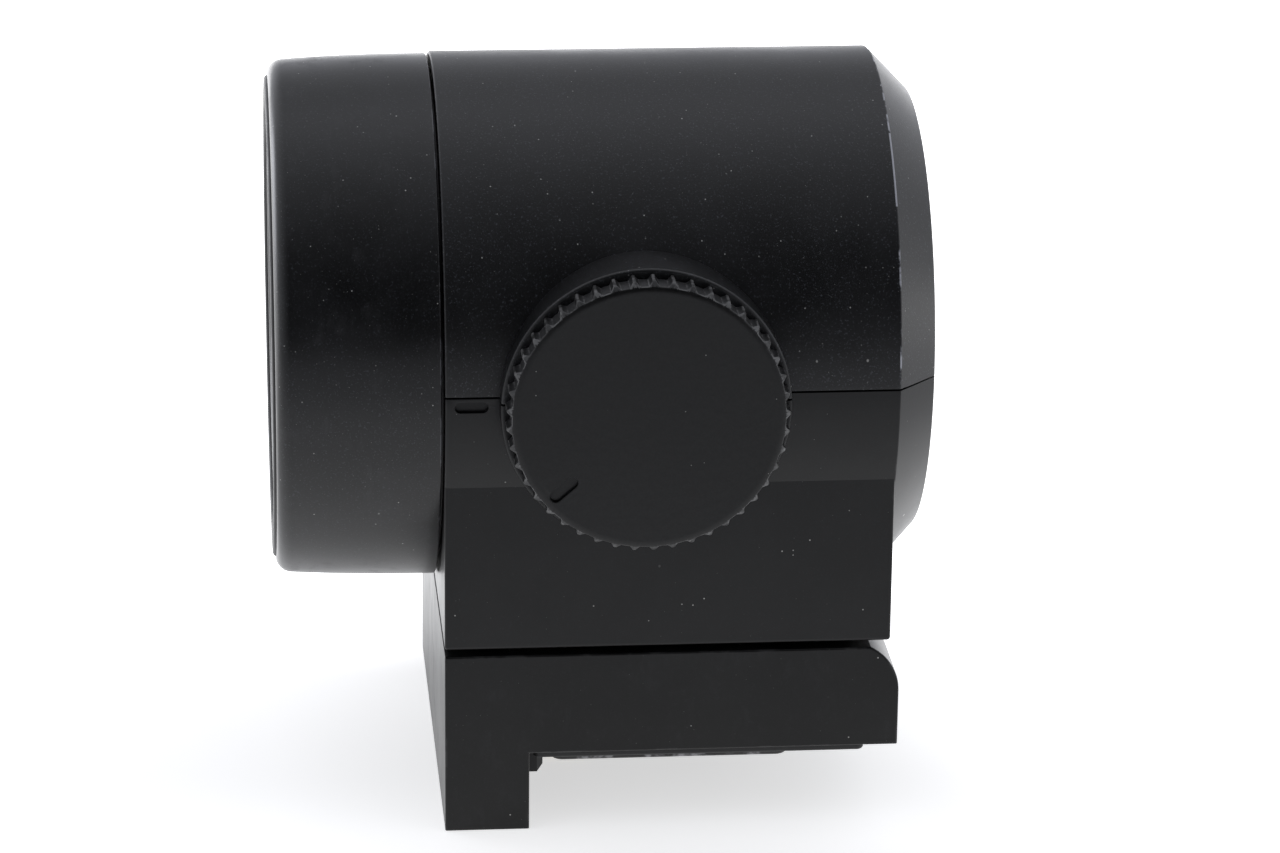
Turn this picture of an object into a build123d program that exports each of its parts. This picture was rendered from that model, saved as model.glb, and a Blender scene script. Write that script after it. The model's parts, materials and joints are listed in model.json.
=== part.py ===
"""Clip-on electronic viewfinder: a tilting barrel head with a dioptre dial, on a base with a shoe foot.

Frame, in millimetres: +X is the viewing direction, so the eyepiece faces -X. The dial is on the -Y side.
+Z is up. The origin is the centre of the shoe foot's underside.
"""

import os
from math import asin, cos, hypot, pi, radians, sin, sqrt

from build123d import *

os.makedirs("parts", exist_ok=True)

# ---- Driving dimensions ----

# Barrel of the head, along X
barrel_r = 17.0
barrel_z = 27.85
barrel_wall = 1.5
barrel_rear = -15.0
chamfer_start = 13.36
barrel_front = 15.9
front_rim_r = 14.35
seam_gap = 0.1

# Box under the barrel
box_half = 15.77
box_front = chamfer_start
box_bottom = 10.56
floor_t = 1.6
side_wall = 1.55
edge_r = 0.25

# Base and its rear leg
base_rear = barrel_rear
base_top = 10.13
base_bottom = 3.38
leg_front = -9.62
leg_bottom = -1.88

# Head hinge, along Y, at the centre of the base's round front edge
pivot_x = 10.61
pivot_z = 7.09
knuckle_r = 3.4
slot_r = 2.85
ear_r = 2.6
pin_r = 1.0
pin_half = 13.2
run = 0.03

# Shoe foot
foot_half_x = 7.8
foot_half_y = 9.3
foot_plate = 1.9
neck_half_y = 6.2
relief_front = -4.2
relief_half_y = 5.6
relief_depth = 0.2

# Eyepiece
ring_rear = -25.4
ring_groove = 0.25
ring_shoulder = (ring_rear + 1.0, 16.6)
ring_brow = (ring_rear + 0.37, 16.37)
ring_lip = (ring_rear, 15.8)
pad_inner_r = 13.9
pad_outer_r = 15.6
pad_depth = 0.8
pad_proud = 0.2
tube_r = 13.2
tube_rear = -24.2
tube_front = -10.0
bore_r = 11.8
flange_r = 15.2
flange_t = 1.2
flange_screws_r = 14.25
lip_t = 1.4
lens_r = 10.15

# Dioptre dial, along Y
dial_x = -2.6
dial_z = barrel_z - 0.4
boss_r = 9.04
boss_face = 18.4
knob_face = 20.2
knob_rear = 18.5
knob_valley_r = 8.47
knob_tip_r = 8.8
ridge_count = 45
ridge_foot = 0.38
ridge_crest = 0.08
# Rounding of the knob's face: radius and depth behind the face, at its start, middle and end
knob_round = ((8.14, 0.0), (8.5, 0.117), (8.82, 0.42))
shaft_r = 1.5
bush_r = 2.6
mark_angle = 221.0

# Spiral cam: the follower pin stands on the -X side of the dial's axis
cam_per_rad = 3.0 / pi
cam_rest_r = 3.02
cam_low = -49.0
cam_high = 131.0
cam_face = 12.3
cam_t = 1.8
cam_depth = 1.2
cam_pin_r = 0.6
cam_clearance = 0.05

# Derived places
rear_lip_front = barrel_rear + lip_t
inner_r = barrel_r - barrel_wall
ledge_front = 13.4
ledge_rear = 11.9
ledge_r = 12.0
ledge_screws_r = 12.7
recess_r = 13.4
floor_top = box_bottom + floor_t
board_bottom = 14.2
board_t = 0.8
board_top = board_bottom + board_t
cover_t = 0.9
cover_top = base_bottom + cover_t
cavity_top = 8.3
base_front = pivot_x + knuckle_r
corner_x = pivot_x + sqrt(knuckle_r**2 - (base_top - pivot_z) ** 2)
pin_x = dial_x - cam_rest_r

barrel_plane = Plane(origin=(0, 0, barrel_z), x_dir=(1, 0, 0), z_dir=(0, -1, 0))
barrel_axis = Axis((0, 0, barrel_z), (1, 0, 0))
pivot = (pivot_x, pivot_z)
dial_centre = (dial_x, dial_z)

foot_screw_places = [(x, y) for x in (-5.0, 5.0) for y in (-3.9, 3.9)]
cover_screw_places = [(x, y) for x in (-6.6, 6.2) for y in (-10.2, 10.2)]
board_screw_places = [(x, y) for x in (-8.2, 3.4) for y in (-11.4, 11.4)]
bracket_screw_places = [(7.3, -5.4), (7.3, 5.4), (10.6, -5.4), (10.6, 5.4)]
holder_screw_places = [(y, z) for y in (-8.4, 8.4) for z in (-7.1, 7.1)]
buffer_places = [(-12.2, -10.5), (-12.2, 10.5)]


def side_plane(y):
    """Plane across the part at the given Y: local x is X, local y is Z, and it faces -Y."""
    return Plane.XZ.offset(-y)


def forward_at(x, y=0, z=barrel_z):
    """Plane that faces +X at the given place: local x is Y and local y is Z."""
    return Plane(origin=(x, y, z), x_dir=(0, 1, 0), z_dir=(1, 0, 0))


def downward_at(x, y, z):
    """Plane that faces -Z at the given place."""
    return Plane(origin=(x, y, z), x_dir=(1, 0, 0), z_dir=(0, 0, -1))


def ring_profile(x_from, x_to, r_inner, r_outer):
    """Rectangle in the barrel plane that revolves to a ring or a disc."""
    with Locations(((x_from + x_to) / 2, (r_inner + r_outer) / 2)):
        Rectangle(x_to - x_from, r_outer - r_inner)


def lens_arc(x_edge, x_centre, radius):
    """Half of a spherical lens surface, from its edge to the optical axis."""
    sag = x_edge - x_centre
    if abs(sag) < 1e-9:
        return Line((x_edge, radius), (x_centre, 0))
    sphere_r = (radius**2 + sag**2) / (2 * abs(sag))
    half = asin(radius / sphere_r) / 2
    side = 1 if sag > 0 else -1
    middle = (x_centre + side * sphere_r * (1 - cos(half)), sphere_r * sin(half))
    return ThreePointArc((x_edge, radius), middle, (x_centre, 0))


def lens_outline(rear_edge, rear_centre, front_edge, front_centre, radius):
    """Outline of a lens's half section, with spherical or flat faces."""
    lens_arc(rear_edge, rear_centre, radius)
    Line((rear_centre, 0), (front_centre, 0))
    lens_arc(front_edge, front_centre, radius)
    Line((front_edge, radius), (rear_edge, radius))


def make_screw(shank_r, shank_length, head_r, head_t, cone=False):
    """Screw with its head's top on XY, its shank along -Z and a cross recess. A cone head is countersunk."""
    under_r = shank_r if cone else head_r
    tip = -head_t - shank_length
    with BuildPart() as screw:
        with BuildSketch(Plane.XZ):
            with BuildLine():
                Polyline((0, tip), (0, 0), (head_r, 0), (under_r, -head_t))
                if not cone:
                    Line((under_r, -head_t), (shank_r, -head_t))
                Polyline((shank_r, -head_t), (shank_r, tip), (0, tip))
            make_face()
        revolve(axis=Axis.Z)
        with BuildSketch(Plane.XY):
            Rectangle(1.3 * head_r, 0.3 * head_r)
            Rectangle(0.3 * head_r, 1.3 * head_r)
        extrude(amount=-0.6 * head_t, mode=Mode.SUBTRACT)
    return screw.part


# ---- Base body ----

with BuildPart() as base_shell:
    # L-shaped side profile, with the hinge's round front edge
    corner_half = asin((base_top - pivot_z) / knuckle_r) / 2
    arc_middle = (pivot_x + knuckle_r * cos(corner_half), pivot_z + knuckle_r * sin(corner_half))
    with BuildSketch(side_plane(box_half)):
        with BuildLine():
            ThreePointArc((base_front, pivot_z), arc_middle, (corner_x, base_top))
            Polyline(
                (corner_x, base_top),
                (base_rear, base_top),
                (base_rear, leg_bottom),
                (leg_front, leg_bottom),
                (leg_front, base_bottom),
                (base_front, base_bottom),
                (base_front, pivot_z),
            )
        make_face()
    extrude(amount=2 * box_half)
    side_faces = base_shell.faces().filter_by(Axis.Y)
    fillet(side_faces.edges(), edge_r)
    # Room for the circuits, open below, and the leg's pocket for the connector
    with BuildSketch(Plane.XY.offset(base_bottom)):
        with Locations((-3.6, 0)):
            Rectangle(19.2, 18.8)
    extrude(amount=cavity_top - base_bottom, mode=Mode.SUBTRACT)
    with BuildSketch(Plane.YZ.offset(leg_front)):
        with Locations((0, 1.2)):
            Rectangle(15.3, 4.4)
    extrude(amount=-3.58, mode=Mode.SUBTRACT)
    with BuildSketch(Plane.XY.offset(-0.9)):
        with Locations((-12.3, 0)):
            Rectangle(1.8, 15.3)
    extrude(amount=base_bottom + 0.9, mode=Mode.SUBTRACT)
    # Posts for the foot's screws
    with BuildSketch(Plane.XY.offset(cover_top)):
        with Locations(*foot_screw_places):
            Circle(1.7)
    extrude(amount=cavity_top - cover_top)
    with BuildSketch(Plane.XY.offset(cover_top)):
        with Locations(*foot_screw_places):
            Circle(0.8)
    extrude(amount=3.4, mode=Mode.SUBTRACT)
    # Recess of the cover plate, and its screw holes
    with BuildSketch(Plane.XY.offset(base_bottom)):
        with Locations((-1.11, 0)):
            Rectangle(17.02, 22.4)
    extrude(amount=cover_t, mode=Mode.SUBTRACT)
    with BuildSketch(Plane.XY.offset(cover_top)):
        with Locations(*cover_screw_places):
            Circle(0.5)
    extrude(amount=2.0, mode=Mode.SUBTRACT)
    # Shallow recesses of the underside pads
    with BuildSketch(Plane.XY.offset(base_bottom)):
        with Locations((1.3, -13.25), (1.3, 13.25)):
            RectangleRounded(21.4, 3.9, 0.9)
    extrude(amount=0.3, mode=Mode.SUBTRACT)
    # Hinge slots for the two ears and the middle knuckle, open at the top and the front
    with BuildSketch(Plane.XY.offset(pivot_z - slot_r)):
        with Locations((pivot_x - slot_r + 5, -9.0), (pivot_x - slot_r + 5, 0), (pivot_x - slot_r + 5, 9.0)):
            Rectangle(10, 3.2)
        with Locations((pivot_x - slot_r + 5, 0)):
            Rectangle(10, 6.2)
    extrude(amount=10, mode=Mode.SUBTRACT)
    with BuildSketch(Plane.YZ.offset(5.5)):
        with Locations((0, 5.1)):
            Rectangle(4.6, 1.4)
    extrude(amount=3.0, mode=Mode.SUBTRACT)
    # Bore of the hinge pin
    with BuildSketch(side_plane(pin_half)):
        with Locations(pivot):
            Circle(pin_r)
    extrude(amount=2 * pin_half, mode=Mode.SUBTRACT)
    # Pockets of the rest buffers
    with BuildSketch(Plane.XY.offset(base_top)):
        with Locations(*buffer_places):
            Circle(1.4)
    extrude(amount=-0.5, mode=Mode.SUBTRACT)
base_shell.part.label = "base_shell"
export_step(base_shell.part, "parts/base_shell.step")

with BuildPart() as base_cover:
    with BuildSketch(Plane.XY.offset(base_bottom)):
        with Locations((-1.11, 0)):
            Rectangle(16.9, 22.3)
    extrude(amount=cover_t)
    with Locations(*[(x, y, base_bottom) for x, y in foot_screw_places]):
        Cylinder(0.8, 4, mode=Mode.SUBTRACT)
    with BuildSketch(Plane.XY.offset(base_bottom)):
        with Locations(*cover_screw_places):
            Circle(1.0)
    extrude(amount=0.45, mode=Mode.SUBTRACT)
    with BuildSketch(Plane.XY.offset(base_bottom)):
        with Locations(*cover_screw_places):
            Circle(0.5)
    extrude(amount=cover_t, mode=Mode.SUBTRACT)
base_cover.part.label = "base_cover"
export_step(base_cover.part, "parts/base_cover.step")

small_screw = make_screw(0.5, 1.9, 0.9, 0.4)

with BuildPart() as cover_screws:
    with Locations(*[downward_at(x, y, base_bottom + 0.05) for x, y in cover_screw_places]):
        add(small_screw)
cover_screws.part.label = "cover_screws"
export_step(cover_screws.part, "parts/cover_screws.step")

with BuildPart() as underside_pads:
    with BuildSketch(Plane.XY.offset(base_bottom + 0.3)):
        with Locations((1.3, -13.25), (1.3, 13.25)):
            RectangleRounded(21.3, 3.8, 0.85)
    extrude(amount=-0.9)
    chamfer(underside_pads.faces().sort_by(Axis.Z)[0:2].edges(), 0.15)
underside_pads.part.label = "underside_pads"
export_step(underside_pads.part, "parts/underside_pads.step")

with BuildPart() as shoe_foot:
    with BuildSketch(Plane.XY):
        RectangleRounded(2 * foot_half_x, 2 * foot_half_y, 0.8)
    extrude(amount=foot_plate)
    chamfer(shoe_foot.faces().sort_by(Axis.Z)[0].edges(), 0.3)
    with BuildSketch(Plane.XY.offset(foot_plate)):
        Rectangle(2 * foot_half_x - 0.6, 2 * neck_half_y)
    extrude(amount=base_bottom - foot_plate)
    with Locations(*[downward_at(x, y, 0) for x, y in foot_screw_places]):
        CounterSinkHole(radius=0.85, counter_sink_radius=1.6)
    # Shallow relief over the connector's tongue, open at the rear
    with BuildSketch(Plane.XY):
        with Locations(((relief_front - foot_half_x) / 2, 0)):
            Rectangle(relief_front + foot_half_x, 2 * relief_half_y)
    extrude(amount=relief_depth, mode=Mode.SUBTRACT)
shoe_foot.part.label = "shoe_foot"
export_step(shoe_foot.part, "parts/shoe_foot.step")

foot_screw = make_screw(0.8, 6.4, 1.4, 0.7, cone=True)

with BuildPart() as foot_screws:
    with Locations(*[downward_at(x, y, 0.15) for x, y in foot_screw_places]):
        add(foot_screw)
foot_screws.part.label = "foot_screws"
export_step(foot_screws.part, "parts/foot_screws.step")

conn_front = leg_front + 1.44
conn_top = 2.9
conn_bottom = -1.42
tongue_z = -0.85
tongue_t = 0.8

with BuildPart() as connector_housing:
    with BuildSketch(Plane.YZ.offset(leg_front)):
        with Locations((0, (conn_top + conn_bottom) / 2)):
            Rectangle(15.3, conn_top - conn_bottom)
    extrude(amount=conn_front - leg_front)
    front_edges = connector_housing.faces().sort_by(Axis.X)[-1].edges()
    chamfer(front_edges, 0.4)
    with BuildSketch(Plane.YZ.offset(leg_front)):
        with Locations((0, 1.2)):
            Rectangle(15.2, 4.2)
    extrude(amount=-2.0)
    with BuildSketch(Plane.YZ.offset(conn_front)):
        with Locations((0, tongue_z)):
            Rectangle(9.0, tongue_t)
    extrude(amount=-1.4, mode=Mode.SUBTRACT)
connector_housing.part.label = "connector_housing"
export_step(connector_housing.part, "parts/connector_housing.step")

with BuildPart() as connector_tongue:
    with BuildSketch(Plane.YZ.offset(conn_front - 1.4)):
        with Locations((0, tongue_z)):
            Rectangle(9.0, tongue_t)
    extrude(amount=1.4 + 3.6)
    chamfer(connector_tongue.faces().sort_by(Axis.X)[-1].edges(), 0.15)
    # Channels that hold the contact strips, above and below
    with BuildSketch(Plane.YZ.offset(conn_front)):
        with GridLocations(0.7, 0, 12, 1):
            with Locations((0, tongue_z + tongue_t / 2), (0, tongue_z - tongue_t / 2)):
                Rectangle(0.36, 0.3)
    extrude(amount=3.2, mode=Mode.SUBTRACT)
connector_tongue.part.label = "connector_tongue"
export_step(connector_tongue.part, "parts/connector_tongue.step")

with BuildPart() as connector_contacts:
    with BuildSketch(Plane.YZ.offset(conn_front)):
        with GridLocations(0.7, 0, 12, 1):
            with Locations((0, tongue_z + tongue_t / 2 - 0.075), (0, tongue_z - tongue_t / 2 + 0.075)):
                Rectangle(0.36, 0.15)
    extrude(amount=3.1)
connector_contacts.part.label = "connector_contacts"
export_step(connector_contacts.part, "parts/connector_contacts.step")

with BuildPart() as connector_board:
    with BuildSketch(Plane.YZ.offset(-13.1)):
        with Locations((0, 3.4)):
            Rectangle(14.0, 8.4)
    extrude(amount=0.8)
    with BuildSketch(Plane.YZ.offset(-12.3)):
        with Locations((-3.2, 6.4), (3.2, 6.4)):
            Rectangle(3.0, 1.4)
    extrude(amount=0.7)
connector_board.part.label = "connector_board"
export_step(connector_board.part, "parts/connector_board.step")

flex_t = 0.15
flex_half = 2.0
roll_r = 2.1

with BuildPart() as base_flex:
    # Flat tail along the cavity, and a loose roll round the hinge pin
    with BuildSketch(side_plane(flex_half)):
        with Locations(pivot):
            Circle(roll_r)
            Circle(roll_r - flex_t, mode=Mode.SUBTRACT)
        with Locations((pivot_x - roll_r, pivot_z + roll_r)):
            Rectangle(2 * roll_r, 2 * roll_r, mode=Mode.SUBTRACT)
        tail_from = -12.3
        with Locations(((tail_from + pivot_x) / 2, pivot_z - roll_r + flex_t / 2)):
            Rectangle(pivot_x - tail_from, flex_t)
    extrude(amount=2 * flex_half)
base_flex.part.label = "base_flex"
export_step(base_flex.part, "parts/base_flex.step")

with BuildPart() as hinge_pin:
    with BuildSketch(side_plane(pin_half)):
        with Locations(pivot):
            Circle(pin_r)
    extrude(amount=2 * pin_half)
hinge_pin.part.label = "hinge_pin"
export_step(hinge_pin.part, "parts/hinge_pin.step")

washer_t = 0.3

with BuildPart() as friction_washers:
    for outer_y in (-7.4, -10.3, 7.7, 10.6):
        with BuildSketch(side_plane(outer_y)):
            with Locations(pivot):
                Circle(2.4)
                Circle(pin_r + run, mode=Mode.SUBTRACT)
        extrude(amount=washer_t)
friction_washers.part.label = "friction_washers"
export_step(friction_washers.part, "parts/friction_washers.step")

with BuildPart() as rest_buffers:
    with BuildSketch(Plane.XY.offset(base_top - 0.5)):
        with Locations(*buffer_places):
            Circle(1.38)
    extrude(amount=0.8)
rest_buffers.part.label = "rest_buffers"
export_step(rest_buffers.part, "parts/rest_buffers.step")

# ---- Head body: shells ----

with BuildPart() as head_blank:
    with BuildSketch(barrel_plane):
        with BuildLine():
            Polyline(
                (barrel_rear, 0),
                (barrel_rear, barrel_r - 0.3),
                (barrel_rear + 0.3, barrel_r),
                (chamfer_start, barrel_r),
                (barrel_front - 0.3, front_rim_r + 0.32),
                (barrel_front, front_rim_r - 0.15),
                (barrel_front, 0),
                close=True,
            )
        make_face()
    revolve(axis=barrel_axis)
    with BuildSketch(Plane.XY.offset(box_bottom)):
        with Locations(((barrel_rear + box_front) / 2, 0)):
            Rectangle(box_front - barrel_rear, 2 * box_half)
    extrude(amount=barrel_z - box_bottom)
    low_edges = head_blank.faces().sort_by(Axis.Z)[0].edges()
    fillet(low_edges, edge_r)
    # Round boss of the dial
    with BuildSketch(side_plane(-11.0)):
        with Locations(dial_centre):
            Circle(boss_r)
    extrude(amount=boss_face - 11.0)
    boss_rim = head_blank.faces().filter_by(Axis.Y).sort_by(Axis.Y)[0].edges()
    fillet(boss_rim, 0.2)
    # Inside: round space of the optics, square space below, rear opening and stepped front opening
    with BuildSketch(barrel_plane):
        ring_profile(rear_lip_front, ledge_rear, 0, inner_r)
        ring_profile(barrel_rear, rear_lip_front, 0, tube_r)
        ring_profile(ledge_rear, ledge_front, 0, ledge_r)
        ring_profile(ledge_front, barrel_front, 0, recess_r)
    revolve(axis=barrel_axis, mode=Mode.SUBTRACT)
    with BuildSketch(Plane.XY.offset(floor_top)):
        with Locations(((rear_lip_front + ledge_rear) / 2, 0)):
            Rectangle(ledge_rear - rear_lip_front, 2 * (box_half - side_wall))
    extrude(amount=barrel_z - floor_top, mode=Mode.SUBTRACT)
    # Bore of the dial's bush, through the seam
    with BuildSketch(side_plane(-14.0)):
        with Locations(dial_centre):
            Circle(bush_r)
    extrude(amount=6, mode=Mode.SUBTRACT)
    # Screw holes of the eyepiece flange and of the front ledge
    with BuildSketch(forward_at(rear_lip_front)):
        with PolarLocations(flange_screws_r, 4, start_angle=45):
            Circle(0.5)
    extrude(amount=-1.1, mode=Mode.SUBTRACT)
    with BuildSketch(forward_at(ledge_front)):
        with PolarLocations(ledge_screws_r, 4, start_angle=45):
            Circle(0.67)
    extrude(amount=-0.6, mode=Mode.SUBTRACT)
    with BuildSketch(forward_at(ledge_front)):
        with PolarLocations(ledge_screws_r, 4, start_angle=45):
            Circle(0.5)
    extrude(amount=-2, mode=Mode.SUBTRACT)
    # Index mark beside the dial, a shallow stadium groove
    with BuildSketch(side_plane(-18)):
        with Locations((-13.35, barrel_z - 0.62)):
            SlotOverall(2.1, 0.73)
    extrude(amount=-1.35, mode=Mode.SUBTRACT)

with BuildPart() as upper_shell:
    add(head_blank.part)
    split(bisect_by=Plane.XY.offset(barrel_z + seam_gap / 2), keep=Keep.TOP)
upper_shell.part.label = "upper_shell"
export_step(upper_shell.part, "parts/upper_shell.step")

with BuildPart() as lower_housing:
    add(head_blank.part)
    split(bisect_by=Plane.XY.offset(barrel_z - seam_gap / 2), keep=Keep.BOTTOM)
    # Posts of the main board
    with BuildSketch(Plane.XY.offset(floor_top)):
        with Locations(*board_screw_places):
            Circle(1.5)
    extrude(amount=board_bottom - floor_top)
    with BuildSketch(Plane.XY.offset(board_bottom)):
        with Locations(*board_screw_places):
            Circle(0.5)
    extrude(amount=-2.6, mode=Mode.SUBTRACT)
    # Floor slots for the hinge's ears and the flexible circuit, and the bracket's screw holes
    with BuildSketch(Plane.XY.offset(box_bottom)):
        with Locations((9.85, -9.0), (9.85, 9.0)):
            Rectangle(3.9, 2.6)
        with Locations((10.25, 0)):
            Rectangle(2.7, 5.8)
    extrude(amount=floor_t, mode=Mode.SUBTRACT)
    with BuildSketch(Plane.XY.offset(floor_top)):
        with Locations(*bracket_screw_places):
            Circle(0.6)
    extrude(amount=-1.2, mode=Mode.SUBTRACT)
lower_housing.part.label = "lower_housing"
export_step(lower_housing.part, "parts/lower_housing.step")

# ---- Head body: eyepiece ----

with BuildPart() as eyepiece_ring:
    with BuildSketch(barrel_plane):
        with BuildLine():
            Polyline(
                (tube_rear, 11.6),
                (tube_rear, tube_r),
                (barrel_rear, tube_r),
                (barrel_rear, 15.3),
                (barrel_rear - ring_groove, 15.3),
                (barrel_rear - ring_groove, 16.75),
                (barrel_rear - ring_groove - 0.12, 16.87),
            )
            ThreePointArc(
                (barrel_rear - ring_groove - 0.12, 16.87),
                (-20.4, 16.8),
                ring_shoulder,
            )
            ThreePointArc(ring_shoulder, ring_brow, ring_lip)
            Polyline(
                ring_lip,
                (ring_rear, pad_outer_r),
                (ring_rear + pad_depth, pad_outer_r),
                (ring_rear + pad_depth, pad_inner_r),
                (ring_rear, pad_inner_r),
                (ring_rear, 13.4),
                (tube_rear, 11.6),
            )
        make_face()
    revolve(axis=barrel_axis)
eyepiece_ring.part.label = "eyepiece_ring"
export_step(eyepiece_ring.part, "parts/eyepiece_ring.step")

with BuildPart() as eyecup_pad:
    with BuildSketch(barrel_plane):
        ring_profile(ring_rear - pad_proud, ring_rear + pad_depth, pad_inner_r, pad_outer_r)
    revolve(axis=barrel_axis)
    fillet(eyecup_pad.faces().sort_by(Axis.X)[0].edges(), 0.35)
eyecup_pad.part.label = "eyecup_pad"
export_step(eyecup_pad.part, "parts/eyecup_pad.step")

key_half = 1.0

with BuildPart() as eyepiece_tube:
    with BuildSketch(barrel_plane):
        with BuildLine():
            Polyline(
                (tube_rear, tube_r),
                (rear_lip_front, tube_r),
                (rear_lip_front, flange_r),
                (rear_lip_front + flange_t, flange_r),
                (rear_lip_front + flange_t, tube_r),
                (tube_front, tube_r),
                (tube_front, bore_r),
                (-22.4, bore_r),
                (-22.4, 10.2),
                (-22.9, 10.2),
                (-22.9, 11.2),
                (tube_rear, 11.2),
                close=True,
            )
        make_face()
    revolve(axis=barrel_axis)
    with BuildSketch(forward_at(rear_lip_front)):
        with PolarLocations(flange_screws_r, 4, start_angle=45):
            Circle(0.5)
    extrude(amount=3, mode=Mode.SUBTRACT)
    # Groove of the guide key, along the bottom of the bore
    with BuildSketch(Plane.YZ.offset(-16.2)):
        with Locations((0, barrel_z - 12.0)):
            Rectangle(2 * (key_half + cam_clearance), 1.7)
    extrude(amount=tube_front + 16.2, mode=Mode.SUBTRACT)
eyepiece_tube.part.label = "eyepiece_tube"
export_step(eyepiece_tube.part, "parts/eyepiece_tube.step")

with BuildPart() as eyepiece_window:
    with BuildSketch(barrel_plane):
        ring_profile(-23.9, -22.9, 0, 11.2)
    revolve(axis=barrel_axis)
eyepiece_window.part.label = "eyepiece_window"
export_step(eyepiece_window.part, "parts/eyepiece_window.step")

with BuildPart() as window_retainer:
    with BuildSketch(barrel_plane):
        ring_profile(tube_rear, -23.9, 10.3, 11.2)
    revolve(axis=barrel_axis)
window_retainer.part.label = "window_retainer"
export_step(window_retainer.part, "parts/window_retainer.step")

flange_screw = make_screw(0.5, 2.2, 0.8, 0.5)

with BuildPart() as eyepiece_screws:
    for angle in (45, 135, 225, 315):
        across = flange_screws_r * cos(radians(angle))
        up = flange_screws_r * sin(radians(angle))
        with Locations(forward_at(rear_lip_front + flange_t + 0.5, across, barrel_z + up)):
            add(flange_screw)
eyepiece_screws.part.label = "eyepiece_screws"
export_step(eyepiece_screws.part, "parts/eyepiece_screws.step")

# ---- Head body: display unit and front ----

chassis_rear = 10.3

with BuildPart() as display_chassis:
    with BuildSketch(barrel_plane):
        ring_profile(chassis_rear, ledge_rear, 0, inner_r - 0.1)
    revolve(axis=barrel_axis)
    with BuildSketch(forward_at(ledge_rear)):
        with PolarLocations(ledge_screws_r, 4, start_angle=45):
            Circle(0.5)
        with Locations(*holder_screw_places):
            Circle(0.5)
        with Locations((-8.4, 0), (8.4, 0)):
            SlotOverall(5, 2.4, rotation=90)
    extrude(amount=-3, mode=Mode.SUBTRACT)
    with BuildSketch(forward_at(ledge_rear)):
        with Locations(*holder_screw_places):
            Circle(1.0)
    extrude(amount=-0.6, mode=Mode.SUBTRACT)
    # Flat below, clear of the hinge bracket's screws
    with BuildSketch(Plane.XY.offset(14.4)):
        with Locations((11, 0)):
            Rectangle(4, 40)
    extrude(amount=-6, mode=Mode.SUBTRACT)
display_chassis.part.label = "display_chassis"
export_step(display_chassis.part, "parts/display_chassis.step")

shell_screw = make_screw(0.5, 2.2, 0.65, 0.55)

with BuildPart() as shell_screws:
    for angle in (45, 135, 225, 315):
        across = ledge_screws_r * cos(radians(angle))
        up = ledge_screws_r * sin(radians(angle))
        with Locations(forward_at(ledge_front - 0.05, across, barrel_z + up)):
            add(shell_screw)
shell_screws.part.label = "shell_screws"
export_step(shell_screws.part, "parts/shell_screws.step")

holder_rear = 3.4
pocket_rear = 4.4
panel_half_y = 7.2
panel_half_z = 5.6

with BuildPart() as display_holder:
    with BuildSketch(forward_at(holder_rear)):
        RectangleRounded(19.2, 17.0, 1.0)
        Rectangle(10.8, 8.2, mode=Mode.SUBTRACT)
    extrude(amount=chassis_rear - holder_rear)
    with BuildSketch(forward_at(pocket_rear)):
        Rectangle(2 * panel_half_y, 2 * panel_half_z)
    extrude(amount=10, mode=Mode.SUBTRACT)
    with BuildSketch(Plane.XY.offset(barrel_z - 9)):
        with Locations((9.75, 0)):
            Rectangle(1.1, 7.6)
    extrude(amount=5, mode=Mode.SUBTRACT)
    with BuildSketch(forward_at(chassis_rear)):
        with Locations(*holder_screw_places):
            Circle(0.5)
    extrude(amount=-2.4, mode=Mode.SUBTRACT)
display_holder.part.label = "display_holder"
export_step(display_holder.part, "parts/display_holder.step")

holder_screw = make_screw(0.5, 3.3, 0.9, 0.5)

with BuildPart() as holder_screws:
    for across, up in holder_screw_places:
        with Locations(forward_at(ledge_rear - 0.1, across, barrel_z + up)):
            add(holder_screw)
holder_screws.part.label = "holder_screws"
export_step(holder_screws.part, "parts/holder_screws.step")

with BuildPart() as display_mask:
    with BuildSketch(forward_at(pocket_rear)):
        Rectangle(2 * panel_half_y, 2 * panel_half_z)
        Rectangle(10.2, 7.7, mode=Mode.SUBTRACT)
    extrude(amount=0.2)
display_mask.part.label = "display_mask"
export_step(display_mask.part, "parts/display_mask.step")

with BuildPart() as display_panel:
    with BuildSketch(forward_at(pocket_rear + 0.2)):
        Rectangle(2 * panel_half_y, 2 * panel_half_z)
    extrude(amount=1.4)
display_panel.part.label = "display_panel"
export_step(display_panel.part, "parts/display_panel.step")

with BuildPart() as backlight_unit:
    with BuildSketch(forward_at(pocket_rear + 1.6)):
        Rectangle(2 * panel_half_y, 2 * panel_half_z)
    extrude(amount=3.2)
backlight_unit.part.label = "backlight_unit"
export_step(backlight_unit.part, "parts/backlight_unit.step")

with BuildPart() as display_flex:
    # Down the back of the backlight, out of the holder, and bent towards the main board's connector
    with BuildSketch(side_plane(3.4)):
        with BuildLine():
            flex_x = 9.3
            Polyline((flex_x, barrel_z + 4.5), (flex_x, 18.28), (flex_x - 1.6, 16.68), (7.0, 16.68))
            offset(amount=flex_t, side=Side.LEFT)
        make_face()
    extrude(amount=6.8)
display_flex.part.label = "display_flex"
export_step(display_flex.part, "parts/display_flex.step")

with BuildPart() as front_plate:
    with BuildSketch(barrel_plane):
        with BuildLine():
            Polyline(
                (12.3, 0),
                (12.3, ledge_r - 0.1),
                (ledge_front, ledge_r - 0.1),
                (ledge_front, recess_r - 0.05),
                (14.75, recess_r - 0.05),
                (14.95, recess_r - 0.25),
                (14.95, 0),
                close=True,
            )
        make_face()
    revolve(axis=barrel_axis)
front_plate.part.label = "front_plate"
export_step(front_plate.part, "parts/front_plate.step")

# ---- Head body: circuits and hinge bracket ----

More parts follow.
